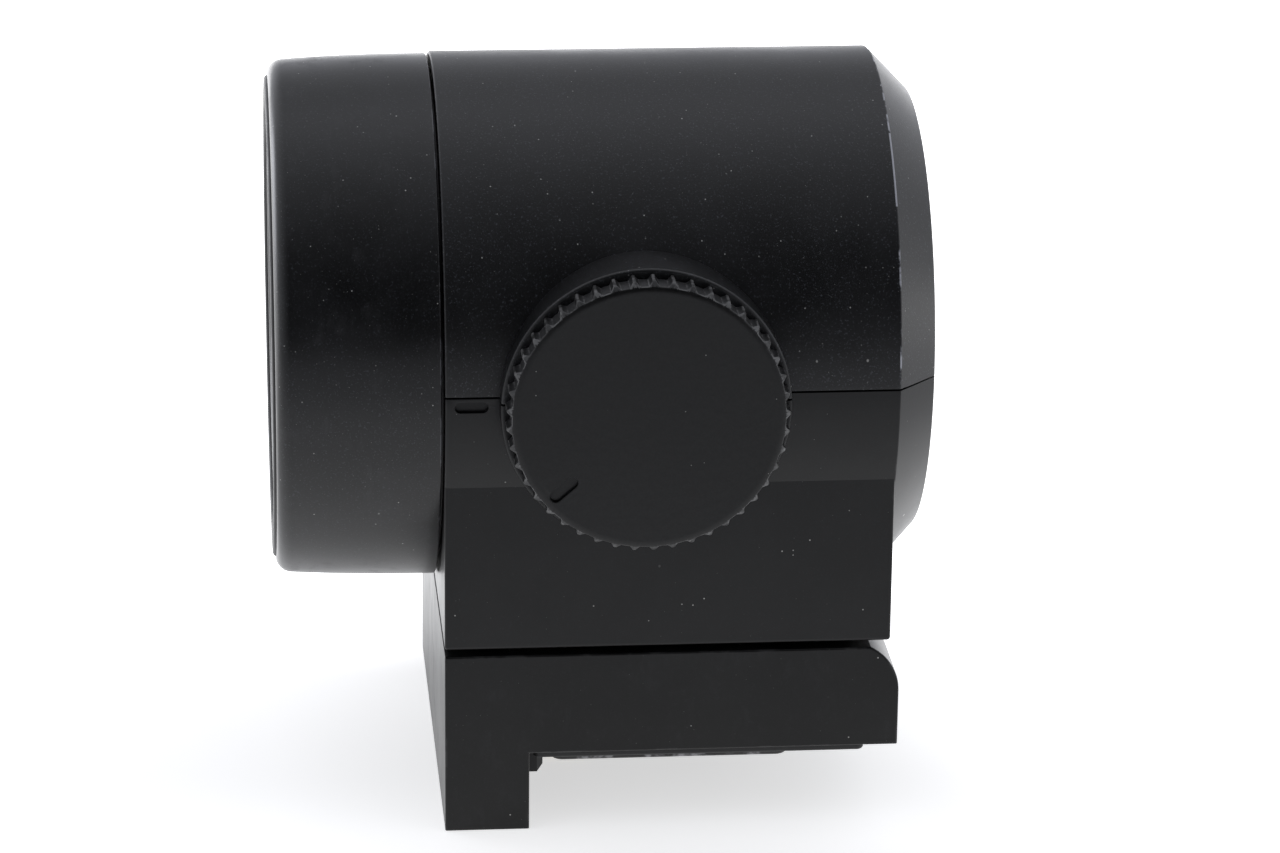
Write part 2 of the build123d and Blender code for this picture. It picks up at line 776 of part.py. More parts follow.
with BuildPart() as main_board:
    with BuildSketch(Plane.XY.offset(board_bottom)):
        with Locations((0.1, 0)):
            RectangleRounded(19.2, 26.0, 0.8)
        with Locations(*board_screw_places):
            Circle(0.55, mode=Mode.SUBTRACT)
    extrude(amount=board_t)
main_board.part.label = "main_board"
export_step(main_board.part, "parts/main_board.step")

with BuildPart() as board_components:
    for x, y, length, width, height in (
        (-3.0, 0.0, 7.5, 7.5, 1.1),
        (-3.4, 8.0, 5.0, 4.0, 0.9),
        (-3.4, -8.0, 5.0, 4.0, 0.9),
        (6.0, 0.0, 2.6, 8.4, 1.5),
        (5.4, 8.6, 2.4, 2.4, 1.2),
        (5.4, -8.6, 2.4, 2.4, 1.2),
    ):
        with BuildSketch(Plane.XY.offset(board_top)):
            with Locations((x, y)):
                Rectangle(length, width)
        extrude(amount=height)
    with BuildSketch(Plane.XY.offset(board_top)):
        with Locations((2.2, 0)):
            with GridLocations(0, 1.6, 1, 6):
                Rectangle(1.0, 0.5)
    extrude(amount=0.5)
board_components.part.label = "board_components"
export_step(board_components.part, "parts/board_components.step")

board_screw = make_screw(0.5, 3.0, 0.95, 0.5)

with BuildPart() as board_screws:
    with Locations(*[(x, y, board_top + 0.5) for x, y in board_screw_places]):
        add(board_screw)
board_screws.part.label = "board_screws"
export_step(board_screws.part, "parts/board_screws.step")

bracket_t = 1.0

with BuildPart() as hinge_bracket:
    with BuildSketch(Plane.XY.offset(floor_top)):
        with Locations((8.85, 0)):
            Rectangle(5.7, 22.0)
        with Locations((10.4, 0)):
            Rectangle(3.2, 6.2, mode=Mode.SUBTRACT)
        with Locations(*bracket_screw_places):
            Circle(0.62, mode=Mode.SUBTRACT)
    extrude(amount=bracket_t)
    for ear_outer in (-7.8, 10.2):
        with BuildSketch(side_plane(ear_outer)):
            with BuildLine():
                Polyline((pivot_x - ear_r, pivot_z), (pivot_x - ear_r, floor_top + 0.2), (11.7, floor_top + 0.2))
                Polyline((11.7, floor_top + 0.2), (11.7, pivot_z), (pivot_x - ear_r, pivot_z))
            make_face()
            with Locations(pivot):
                Circle(ear_r)
                Circle(pin_r + 0.5, mode=Mode.SUBTRACT)
        extrude(amount=2.4)
hinge_bracket.part.label = "hinge_bracket"
export_step(hinge_bracket.part, "parts/hinge_bracket.step")

with BuildPart() as hinge_bushes:
    for ear_outer in (-7.8, 10.2):
        with BuildSketch(side_plane(ear_outer)):
            with Locations(pivot):
                Circle(pin_r + 0.5)
                Circle(pin_r + run, mode=Mode.SUBTRACT)
        extrude(amount=2.4)
hinge_bushes.part.label = "hinge_bushes"
export_step(hinge_bushes.part, "parts/hinge_bushes.step")

bracket_screw = make_screw(0.6, 2.1, 1.1, 0.6)

with BuildPart() as bracket_screws:
    with Locations(*[(x, y, floor_top + bracket_t + 0.6) for x, y in bracket_screw_places]):
        add(bracket_screw)
bracket_screws.part.label = "bracket_screws"
export_step(bracket_screws.part, "parts/bracket_screws.step")

with BuildPart() as hinge_cover:
    # Quarter-round lip that hides the flexible circuit in the middle slot
    with BuildSketch(side_plane(2.85)):
        with Locations(pivot):
            Circle(2.72)
            Circle(2.32, mode=Mode.SUBTRACT)
        with Locations((pivot_x - 3, pivot_z)):
            Rectangle(6, 6, mode=Mode.SUBTRACT)
        with Locations((pivot_x + 1.5, pivot_z - 1.5)):
            Rectangle(3, 3, mode=Mode.SUBTRACT)
        with Locations((pivot_x + 0.5, (pivot_z + 2.4 + floor_top) / 2)):
            Rectangle(0.8, floor_top - pivot_z - 2.4)
    extrude(amount=2 * 2.85)
hinge_cover.part.label = "hinge_cover"
export_step(hinge_cover.part, "parts/hinge_cover.step")

with BuildPart() as head_flex:
    # From under the main board down to the roll at the hinge
    with BuildSketch(side_plane(flex_half)):
        with BuildLine():
            Polyline((10.3, 9.5), (10.3, 13.0), (9.7, 13.6), (5.2, 13.6))
            offset(amount=flex_t, side=Side.LEFT)
        make_face()
    extrude(amount=2 * flex_half)
head_flex.part.label = "head_flex"
export_step(head_flex.part, "parts/head_flex.step")

with BuildPart() as dial_bush:
    with BuildSketch(side_plane(-15.0)):
        with Locations(dial_centre):
            Circle(bush_r)
            Circle(shaft_r + run, mode=Mode.SUBTRACT)
    extrude(amount=boss_face - 15.0)
dial_bush.part.label = "dial_bush"
export_step(dial_bush.part, "parts/dial_bush.step")

# ---- Dial body ----

with BuildSketch() as ridge:
    with BuildLine():
        Polyline(
            (knob_valley_r - 0.1, -ridge_foot),
            (knob_tip_r - 0.06, -ridge_crest),
            (knob_tip_r, -ridge_crest / 2),
            (knob_tip_r, ridge_crest / 2),
            (knob_tip_r - 0.06, ridge_crest),
            (knob_valley_r - 0.1, ridge_foot),
            close=True,
        )
    make_face()

with BuildPart() as dial_knob:
    with BuildSketch(side_plane(-knob_rear)):
        with Locations(dial_centre):
            Circle(knob_valley_r)
            with PolarLocations(0, ridge_count, start_angle=0.5):
                add(ridge.sketch)
    extrude(amount=knob_face - knob_rear)
    # Face rounded off across the ridges' ends
    with BuildSketch(Plane(origin=(dial_x, 0, dial_z), x_dir=(1, 0, 0), z_dir=(0, 0, 1))):
        with BuildLine():
            round_start, round_middle, round_end = [(r, depth - knob_face) for r, depth in knob_round]
            ThreePointArc(round_start, round_middle, round_end)
            Polyline(
                round_end,
                (round_end[0] + 0.5, round_end[1]),
                (round_end[0] + 0.5, round_start[1] - 0.5),
                (round_start[0], round_start[1] - 0.5),
                round_start,
            )
        make_face()
    revolve(axis=Axis((dial_x, 0, dial_z), (0, 1, 0)), mode=Mode.SUBTRACT)
    # Hollow back, and the blind bore of the shaft
    with BuildSketch(side_plane(-knob_rear)):
        with Locations(dial_centre):
            Circle(7.2)
    extrude(amount=0.6, mode=Mode.SUBTRACT)
    with BuildSketch(side_plane(-knob_rear)):
        with Locations(dial_centre):
            Circle(shaft_r)
    extrude(amount=1.2, mode=Mode.SUBTRACT)
    # Position mark, a shallow radial stadium groove
    mark_r = 6.95
    mark_x = dial_x + mark_r * cos(radians(mark_angle))
    mark_z = dial_z + mark_r * sin(radians(mark_angle))
    with BuildSketch(side_plane(-knob_face)):
        with Locations((mark_x, mark_z)):
            SlotOverall(2.3, 0.75, rotation=mark_angle)
    extrude(amount=-0.3, mode=Mode.SUBTRACT)
dial_knob.part.label = "dial_knob"
export_step(dial_knob.part, "parts/dial_knob.step")

with BuildPart() as dial_shaft:
    with BuildSketch(side_plane(-cam_face)):
        with Locations(dial_centre):
            Circle(shaft_r)
    extrude(amount=knob_rear + 1.2 - cam_face)
dial_shaft.part.label = "dial_shaft"
export_step(dial_shaft.part, "parts/dial_shaft.step")

with BuildPart() as dial_circlip:
    with BuildSketch(side_plane(-boss_face - 0.25)):
        with Locations(dial_centre):
            Circle(2.5)
            Circle(shaft_r, mode=Mode.SUBTRACT)
            with Locations((0, -2)):
                Rectangle(1.4, 3.0, mode=Mode.SUBTRACT)
    extrude(amount=0.35)
dial_circlip.part.label = "dial_circlip"
export_step(dial_circlip.part, "parts/dial_circlip.step")

with BuildPart() as dial_washer:
    with BuildSketch(side_plane(-cam_face - cam_t - 0.1)):
        with Locations(dial_centre):
            Circle(3.4)
            Circle(shaft_r + 0.05, mode=Mode.SUBTRACT)
    extrude(amount=0.6)
dial_washer.part.label = "dial_washer"
export_step(dial_washer.part, "parts/dial_washer.step")


def groove_point(turn, side):
    """Point beside the spiral's centre line, in the cam's plane, for a dial turn in degrees."""
    angle = pi + radians(turn)
    radius = cam_rest_r + cam_per_rad * radians(turn)
    along_x = cam_per_rad * cos(angle) - radius * sin(angle)
    along_z = cam_per_rad * sin(angle) + radius * cos(angle)
    step = side * (cam_pin_r + cam_clearance) / hypot(along_x, along_z)
    return (radius * cos(angle) + along_z * step, radius * sin(angle) - along_x * step)


def groove_end(turn, direction):
    """Outermost point of the groove's round end."""
    angle = pi + radians(turn)
    radius = cam_rest_r + cam_per_rad * radians(turn)
    along_x = cam_per_rad * cos(angle) - radius * sin(angle)
    along_z = cam_per_rad * sin(angle) + radius * cos(angle)
    step = direction * (cam_pin_r + cam_clearance) / hypot(along_x, along_z)
    return (radius * cos(angle) + along_x * step, radius * sin(angle) + along_z * step)


groove_first = cam_low - 4
groove_last = cam_high + 4
groove_steps = 24
turns = [groove_first + (groove_last - groove_first) * i / groove_steps for i in range(groove_steps + 1)]

with BuildSketch() as groove:
    with BuildLine():
        Spline(*[groove_point(turn, 1) for turn in turns])
        ThreePointArc(groove_point(groove_last, 1), groove_end(groove_last, 1), groove_point(groove_last, -1))
        Spline(*[groove_point(turn, -1) for turn in turns])
        ThreePointArc(groove_point(groove_first, 1), groove_end(groove_first, -1), groove_point(groove_first, -1))
    make_face()

with BuildPart() as cam_disc:
    with BuildSketch(side_plane(-cam_face)):
        with Locations(dial_centre):
            Circle(6.7)
            Circle(shaft_r, mode=Mode.SUBTRACT)
    extrude(amount=cam_t)
    # Spiral groove for the follower pin, cut into the face towards the optics
    with BuildSketch(side_plane(-cam_face)):
        with Locations(dial_centre):
            add(groove.sketch)
    extrude(amount=cam_depth, mode=Mode.SUBTRACT)
cam_disc.part.label = "cam_disc"
export_step(cam_disc.part, "parts/cam_disc.step")

# ---- Lens carrier body ----

carrier_rear = -19.9
carrier_front = -10.5
carrier_r = bore_r - 0.05
key_rear = -13.2
key_front = -10.9

with BuildPart() as lens_carrier:
    with BuildSketch(barrel_plane):
        ring_profile(carrier_rear, carrier_front, lens_r, carrier_r)
        ring_profile(carrier_rear, carrier_rear + 0.6, 9.4, carrier_r)
    revolve(axis=barrel_axis)
    # Arm towards the cam, a strip of the same tube
    with BuildSketch(forward_at(carrier_front)):
        Circle(carrier_r)
        Circle(lens_r + 0.15, mode=Mode.SUBTRACT)
        with Locations((-carrier_r, dial_z - barrel_z)):
            Rectangle(8, 4.4, mode=Mode.INTERSECT)
    extrude(amount=pin_x + 1.1 - carrier_front)
    # Hole of the follower pin and pocket of the guide key
    with BuildSketch(side_plane(-9.5)):
        with Locations((pin_x, dial_z)):
            Circle(cam_pin_r)
    extrude(amount=3, mode=Mode.SUBTRACT)
    with BuildSketch(Plane.YZ.offset(key_rear)):
        with Locations((0, barrel_z - 11.9)):
            Rectangle(2 * key_half, 2.0)
    extrude(amount=key_front - key_rear, mode=Mode.SUBTRACT)
lens_carrier.part.label = "lens_carrier"
export_step(lens_carrier.part, "parts/lens_carrier.step")

with BuildPart() as guide_key:
    with BuildSketch(Plane.YZ.offset(key_rear)):
        with Locations((0, barrel_z - 11.8)):
            Rectangle(2 * key_half, 1.8)
    extrude(amount=key_front - key_rear)
guide_key.part.label = "guide_key"
export_step(guide_key.part, "parts/guide_key.step")

with BuildPart() as cam_pin:
    with BuildSketch(side_plane(-10.6)):
        with Locations((pin_x, dial_z)):
            Circle(cam_pin_r)
    extrude(amount=cam_face + cam_depth - 0.2 - 10.6)
cam_pin.part.label = "cam_pin"
export_step(cam_pin.part, "parts/cam_pin.step")

with BuildPart() as eye_lens:
    with BuildSketch(barrel_plane):
        with BuildLine():
            lens_outline(-19.2, -19.7, -17.7, -16.1, lens_r)
        make_face()
    revolve(axis=barrel_axis)
eye_lens.part.label = "eye_lens"
export_step(eye_lens.part, "parts/eye_lens.step")

with BuildPart() as lens_spacer:
    with BuildSketch(barrel_plane):
        ring_profile(-17.45, -15.3, 9.6, lens_r)
    revolve(axis=barrel_axis)
lens_spacer.part.label = "lens_spacer"
export_step(lens_spacer.part, "parts/lens_spacer.step")

with BuildPart() as crown_lens:
    with BuildSketch(barrel_plane):
        with BuildLine():
            lens_outline(-15.2, -15.8, -13.6, -12.2, lens_r)
        make_face()
    revolve(axis=barrel_axis)
crown_lens.part.label = "crown_lens"
export_step(crown_lens.part, "parts/crown_lens.step")

with BuildPart() as flint_lens:
    with BuildSketch(barrel_plane):
        with BuildLine():
            lens_outline(-13.6, -12.2, -11.3, -11.3, lens_r)
        make_face()
    revolve(axis=barrel_axis)
flint_lens.part.label = "flint_lens"
export_step(flint_lens.part, "parts/flint_lens.step")

with BuildPart() as lens_retainer:
    with BuildSketch(barrel_plane):
        ring_profile(-11.3, -10.6, 9.2, lens_r)
    revolve(axis=barrel_axis)
lens_retainer.part.label = "lens_retainer"
export_step(lens_retainer.part, "parts/lens_retainer.step")
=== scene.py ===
"""Looks of the clip-on electronic viewfinder: detailed shells, ring, dial and base round the CAD frame.

Shapes are worked out in millimetres and scaled to metres when a mesh is made.
"""

import json
from math import asin, atan2, cos, degrees, hypot, pi, radians, sin, sqrt, tan

import bmesh
import bpy
from mathutils import Matrix, Vector


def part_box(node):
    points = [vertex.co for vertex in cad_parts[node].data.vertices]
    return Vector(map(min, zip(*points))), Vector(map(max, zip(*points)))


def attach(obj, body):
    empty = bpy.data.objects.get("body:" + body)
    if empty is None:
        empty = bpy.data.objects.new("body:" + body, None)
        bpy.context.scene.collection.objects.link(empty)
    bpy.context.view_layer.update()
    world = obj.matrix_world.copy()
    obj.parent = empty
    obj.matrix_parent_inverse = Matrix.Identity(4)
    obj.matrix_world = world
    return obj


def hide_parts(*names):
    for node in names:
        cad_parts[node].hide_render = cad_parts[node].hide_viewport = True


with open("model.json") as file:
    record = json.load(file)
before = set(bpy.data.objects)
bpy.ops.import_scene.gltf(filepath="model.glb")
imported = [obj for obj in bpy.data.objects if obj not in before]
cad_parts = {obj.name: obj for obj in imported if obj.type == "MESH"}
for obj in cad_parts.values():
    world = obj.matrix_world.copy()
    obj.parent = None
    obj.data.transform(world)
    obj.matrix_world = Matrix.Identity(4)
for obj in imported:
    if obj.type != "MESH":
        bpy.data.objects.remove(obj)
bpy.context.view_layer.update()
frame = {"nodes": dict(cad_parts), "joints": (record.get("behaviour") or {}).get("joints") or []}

MM = 0.001
scene = bpy.context.scene
nodes = frame["nodes"]
joints = {joint["name"]: joint for joint in frame["joints"]}


def span(node):
    """Lowest and highest corner of a CAD node, in millimetres."""
    low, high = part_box(node)
    return Vector(low) / MM, Vector(high) / MM


# ---- Driving places, read from the frame ----

upper_low, upper_high = span("upper_shell")
lower_low, lower_high = span("lower_housing")
ring_low, ring_high = span("eyepiece_ring")
pad_low, pad_high = span("eyecup_pad")
plate_low, plate_high = span("front_plate")
knob_low, knob_high = span("dial_knob")
shaft_low, shaft_high = span("dial_shaft")
bush_high = span("dial_bush")[1]
base_low, base_high = span("base_shell")
foot_low, foot_high = span("shoe_foot")

barrel_z = (ring_low.z + ring_high.z) / 2
barrel_r = upper_high.z - barrel_z
barrel_rear = upper_low.x
barrel_front = upper_high.x
seam_low = lower_high.z
seam_high = upper_low.z
box_bottom = lower_low.z
box_half = base_high.y
ring_rear = ring_low.x
boss_face = -lower_low.y
dial_x = joints["dioptre_dial"]["pos_m"][0] / MM
dial_z = joints["dioptre_dial"]["pos_m"][2] / MM
pivot_x = joints["head_tilt"]["pos_m"][0] / MM
pivot_z = joints["head_tilt"]["pos_m"][2] / MM

# ---- Mesh tools ----

# Edges that turn by more than SMOOTH_ANGLE stay sharp. Faces narrower than the width below, beside a convex
# turn of more than the angle below, belong to a rounded edge; the materials lighten these as wear, and as a
# painted highlight on the eyepiece ring's front edge and the dial's rim. Edges past SHARP_TURN are the ones
# to be rounded.
SMOOTH_ANGLE = radians(16)
ROUNDED_TURN_ANGLE = radians(4)
ROUNDED_FACE_WIDTH = 0.12
SHARP_TURN = 0.5


def along_x(along, out, angle):
    """Point of a lathe whose axis is the barrel's."""
    return (along, out * cos(angle), barrel_z + out * sin(angle))


def along_dial(along, out, angle):
    """Point of a lathe whose axis is the dial's; along is measured towards -Y."""
    return (dial_x + out * cos(angle), -along, dial_z + out * sin(angle))


def across(u, v, w):
    """Place of a side outline's point (X, Z), extruded along Y."""
    return (u, w, v)


def upward(u, v, w):
    """Place of a plan outline's point (X, Y), extruded along Z."""
    return (u, v, w)


def arc(centre, radius, start, end, steps):
    """Points of an arc, with angles in degrees."""
    angles = [radians(start + (end - start) * i / steps) for i in range(steps + 1)]
    return [(centre[0] + radius * cos(a), centre[1] + radius * sin(a)) for a in angles]


def arc_through(first, middle, last, steps):
    """Points of the arc through three points."""
    (ax, ay), (bx, by), (cx, cy) = first, middle, last
    twice = 2 * (ax * (by - cy) + bx * (cy - ay) + cx * (ay - by))
    a2, b2, c2 = ax * ax + ay * ay, bx * bx + by * by, cx * cx + cy * cy
    ox = (a2 * (by - cy) + b2 * (cy - ay) + c2 * (ay - by)) / twice
    oy = (a2 * (cx - bx) + b2 * (ax - cx) + c2 * (bx - ax)) / twice
    radius = hypot(ax - ox, ay - oy)
    start = atan2(ay - oy, ax - ox)
    turn = (atan2(cy - oy, cx - ox) - start + pi) % (2 * pi) - pi
    return [
        (ox + radius * cos(start + turn * i / steps), oy + radius * sin(start + turn * i / steps))
        for i in range(steps + 1)
    ]


def rounded(corners, steps=6):
    """Closed outline from (u, v, radius) corners, each rounded to its radius."""
    points = []
    count = len(corners)
    for i, (u, v, radius) in enumerate(corners):
        here = Vector((u, v))
        if radius == 0:
            points.append((u, v))
            continue
        before = Vector(corners[i - 1][:2]) - here
        after = Vector(corners[(i + 1) % count][:2]) - here
        before.normalize()
        after.normalize()
        half = before.angle(after) / 2
        reach = radius / tan(half)
        centre = here + (before + after).normalized() * (radius / sin(half))
        start = here + before * reach - centre
        turn = start.angle_signed(here + after * reach - centre)
        for k in range(steps + 1):
            spoke = start.copy()
            spoke.rotate(Matrix.Rotation(-turn * k / steps, 2))
            points.append(tuple(centre + spoke))
    return points


def slot_outline(centre, length, width, angle, steps=10):
    """Outline of a slot with round ends; angle in degrees."""
    half = (length - width) / 2
    tilt = radians(angle)
    ends = []
    for side, start in ((1, -90), (-1, 90)):
        middle = (centre[0] + side * half * cos(tilt), centre[1] + side * half * sin(tilt))
        ends += arc(middle, width / 2, angle + start, angle + start + 180, steps)
    return ends


def rectangle(low_u, high_u, low_v, high_v):
    return [(low_u, low_v), (high_u, low_v), (high_u, high_v), (low_u, high_v)]


def lathe(profile, place, segments=256):
    """Closed (along, radius) profile turned about an axis."""
    bm = bmesh.new()
    rings = []
    for k in range(segments):
        angle = 2 * pi * k / segments
        rings.append([bm.verts.new(place(along, out, angle)) for along, out in profile])
    for k, ring in enumerate(rings):
        following = rings[(k + 1) % segments]
        for i in range(len(profile)):
            j = (i + 1) % len(profile)
            if profile[i][1] < 1e-6 and profile[j][1] < 1e-6:
                continue
            bm.faces.new((ring[i], ring[j], following[j], following[i]))
    bmesh.ops.remove_doubles(bm, verts=bm.verts, dist=1e-6)
    bmesh.ops.dissolve_degenerate(bm, edges=bm.edges, dist=1e-7)
    bmesh.ops.recalc_face_normals(bm, faces=bm.faces)
    return bm


def prism(outline, low, high, place):
    """Outline extruded from low to high."""
    bm = bmesh.new()
    lower = [bm.verts.new(place(u, v, low)) for u, v in outline]
    upper = [bm.verts.new(place(u, v, high)) for u, v in outline]
    bm.faces.new(lower)
    bm.faces.new(upper)
    for i in range(len(outline)):
        j = (i + 1) % len(outline)
        bm.faces.new((lower[i], lower[j], upper[j], upper[i]))
    bmesh.ops.recalc_face_normals(bm, faces=bm.faces)
    return bm


def block(x, y, z):
    """Box from three (low, high) pairs."""
    return prism(rectangle(x[0], x[1], y[0], y[1]), z[0], z[1], upward)


def cylinder(centre, radius, low, high, place, segments=48):
    outline = arc(centre, radius, 0, 360 * (segments - 1) / segments, segments - 1)
    return prism(outline, low, high, place)


def joined(*parts):
    """Several separate closed meshes as one."""
    whole = bmesh.new()
    for part in parts:
        mesh = bpy.data.meshes.new("part")
        part.to_mesh(mesh)
        part.free()
        whole.from_mesh(mesh)
        bpy.data.meshes.remove(mesh)
    return whole


def temporary(bm):
    mesh = bpy.data.meshes.new("work")
    bm.to_mesh(mesh)
    bm.free()
    thing = bpy.data.objects.new("work", mesh)
    scene.collection.objects.link(thing)
    return thing


def baked(thing):
    """The object's mesh with its modifiers applied, as a bmesh; the object is removed."""
    bpy.context.view_layer.update()
    evaluated = thing.evaluated_get(bpy.context.evaluated_depsgraph_get())
    mesh = bpy.data.meshes.new_from_object(evaluated)
    bm = bmesh.new()
    bm.from_mesh(mesh)
    old = thing.data
    bpy.data.objects.remove(thing)
    bpy.data.meshes.remove(old)
    bpy.data.meshes.remove(mesh)
    return bm


def boolean(bm, other, operation):
    """Exact boolean of two closed meshes: UNION, DIFFERENCE or INTERSECT."""
    thing, tool = temporary(bm), temporary(other)
    modifier = thing.modifiers.new("boolean", "BOOLEAN")
    modifier.operation = operation
    modifier.solver = "EXACT"
    modifier.object = tool
    result = baked(thing)
    tool_mesh = tool.data
    bpy.data.objects.remove(tool)
    bpy.data.meshes.remove(tool_mesh)
    bmesh.ops.remove_doubles(result, verts=result.verts, dist=1e-5)
    bmesh.ops.dissolve_degenerate(result, edges=result.edges, dist=1e-5)
    return result


def cut(bm, *others):
    """Takes closed meshes away, one after the other."""
    for other in others:
        bm = boolean(bm, other, "DIFFERENCE")
    return bm


def bevelled(bm, weight_of, width, segments):
    """Rounds edges; weight_of(edge) is 0 to 1 of the width."""
    attribute = bm.edges.layers.float.get("bevel_weight_edge")
    if attribute is None:
        attribute = bm.edges.layers.float.new("bevel_weight_edge")
    for edge in bm.edges:
        edge[attribute] = weight_of(edge)
    thing = temporary(bm)
    modifier = thing.modifiers.new("bevel", "BEVEL")
    modifier.limit_method = "WEIGHT"
    modifier.offset_type = "OFFSET"
    modifier.width = width
    modifier.segments = segments
    modifier.use_clamp_overlap = True
    result = baked(thing)
    layer = result.edges.layers.float.get("bevel_weight_edge")
    if layer is not None:
        result.edges.layers.float.remove(layer)
    return result


def ends_of(edge):
    return [vertex.co for vertex in edge.verts]


def at_level(edge, level):
    """1 where both ends of the edge lie at a height, 0 elsewhere."""
    return 1.0 if all(abs(end.z - level) < 1e-4 for end in ends_of(edge)) else 0.0


def face_turn(edge):
    """Angle between an edge's two faces, or 0 where it has not two."""
    return edge.calc_face_angle(0.0) if len(edge.link_faces) == 2 else 0.0


def is_rounded_edge_face(face):
    """True on the narrow faces of a rounded convex edge."""
    turns = [e.calc_face_angle_signed(0.0) for e in face.edges if len(e.link_faces) == 2]
    width = face.calc_area() / max(e.calc_length() for e in face.edges)
    return width < ROUNDED_FACE_WIDTH and bool(turns) and max(turns) > ROUNDED_TURN_ANGLE


def piece(name, bm, body, material, stands_for=(), rub_and_highlight=lambda centre: 1.0):
    """Finished piece in metres, smooth-shaded.

    The attribute marks its rounded edges, scaled by the rub function at each place: 1 is worn in patches, 2
    worn through. The lighter colour on these edges is rubbed wear, and on the eyepiece ring's front edge and
    the dial's rim also a painted highlight.
    """
    wear_and_highlight = bm.faces.layers.float.new("wear_and_highlight")
    for face in bm.faces:
        face[wear_and_highlight] = rub_and_highlight(face.calc_center_median()) if is_rounded_edge_face(face) else 0.0
    bmesh.ops.scale(bm, vec=(MM, MM, MM), verts=bm.verts)
    mesh = bpy.data.meshes.new(name)
    bm.to_mesh(mesh)
    bm.free()
    mesh.shade_smooth()
    mesh.set_sharp_from_angle(angle=SMOOTH_ANGLE)
    mesh.materials.append(material)
    thing = bpy.data.objects.new(name, mesh)
    scene.collection.objects.link(thing)
    weighted = thing.modifiers.new("weighted_normal", "WEIGHTED_NORMAL")
    weighted.keep_sharp = True
    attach(thing, body)
    if stands_for:
        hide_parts(*stands_for)
    return thing


# ---- Camera, studio and floor ----

EYE = Vector((-29.11, -299.85, 126.90)) * MM
YAW, PITCH, ROLL = 0.0924, 0.3419, 0.0112
LENS_MM = 136.67

scene.view_settings.view_transform = "Standard"


def make_camera():
    """Long lens in front of the dial, looking slightly down."""
    ahead = Vector((sin(YAW) * cos(PITCH), cos(YAW) * cos(PITCH), -sin(PITCH)))
    level = Vector((cos(YAW), -sin(YAW), 0))
    lift = level.cross(ahead)
    right = cos(ROLL) * level + sin(ROLL) * lift
    up = -sin(ROLL) * level + cos(ROLL) * lift
    data = bpy.data.cameras.new("camera")
    data.lens = LENS_MM
    data.sensor_width = 36
    data.clip_start = 0.01
    camera = bpy.data.objects.new("camera", data)
    turn = Matrix((right, up, -ahead)).transposed().to_4x4()
    camera.matrix_world = Matrix.Translation(EYE) @ turn
    scene.collection.objects.link(camera)
    scene.camera = camera


def add_node(tree, kind, inputs=(), **settings):
    """New shader node; inputs are (socket, value) pairs, where a value may be another node's output."""
    made = tree.nodes.new(kind)
    for key, value in settings.items():
        setattr(made, key, value)
    for key, value in inputs:
        if isinstance(value, bpy.types.NodeSocket):
            tree.links.new(value, made.inputs[key])
        else:
            made.inputs[key].default_value = value
    return made


def calculate(tree, operation, *values):
    """Output of a Math node."""
    made = add_node(tree, "ShaderNodeMath", operation=operation)
    for i, value in enumerate(values):
        if isinstance(value, bpy.types.NodeSocket):
            tree.links.new(value, made.inputs[i])
        else:
            made.inputs[i].default_value = value
    return made.outputs[0]


def stepped(tree, value, low, high, to_low=0.0, to_high=1.0):
    """Value mapped smoothly from low..high to to_low..to_high."""
    made = add_node(
        tree,
        "ShaderNodeMapRange",
        (("Value", value), ("From Min", low), ("From Max", high), ("To Min", to_low), ("To Max", to_high)),
        interpolation_type="SMOOTHSTEP",
    )
    return made.outputs["Result"]


# Direction of the unlit side of the room, and how its dark fades into the lit side
UNLIT_DIRECTION = (0.05, -0.92, 0.36)
UNLIT_CORE = radians(8)
UNLIT_EDGE = radians(106)
UNLIT_LEVEL = 0.03
SKY_LEVEL = 1.0
SKY_COLOUR = (0.96, 0.98, 1.05, 1)

# Dimmer patch above the background
BACK_DIRECTION = (0.0, 0.82, 0.57)
BACK_CORE = radians(10)
BACK_EDGE = radians(38)
BACK_LEVEL = 0.5

# Dimmer patch beyond the front end
END_DIRECTION = (0.93, 0.32, 0.07)
END_CORE = radians(10)
END_EDGE = radians(36)
END_LEVEL = 0.66

# White panels at the two ends of the barrel: direction, inner and outer half-angle, and level
PANELS = (
    ((-0.82, 0.57, 0.02), radians(10), radians(24), 5.0),
    ((0.88, -0.45, 0.14), radians(6), radians(14), 1.5),
)

# Half of the white table's side in metres, and its gap below the part in millimetres
FLOOR_HALF = 3.0
FLOOR_GAP = 0.01
TABLE_ALBEDO = 0.85

# Glow of the table from in front of the part, under it and out behind it: Y in metres, and level. It fades
# towards the front and rises behind the part as painted fall-off of the studio light, and dips under the part
# as a painted shadow.
TABLE_STEPS = (
    (-0.12, 0.0),
    (-0.045, 0.36),
    (-0.028, 0.56),
    (-0.018, 0.66),
    (-0.006, 0.6),
    (0.01, 0.62),
    (0.03, 1.6),
    (0.35, 2.3),
)

# Painted pool of light and painted shade on the table beyond the front end: X and Y, radius, and level added
TABLE_SPOTS = (((0.042, 0.006), 0.034, 0.7), ((0.11, -0.01), 0.055, -0.45))


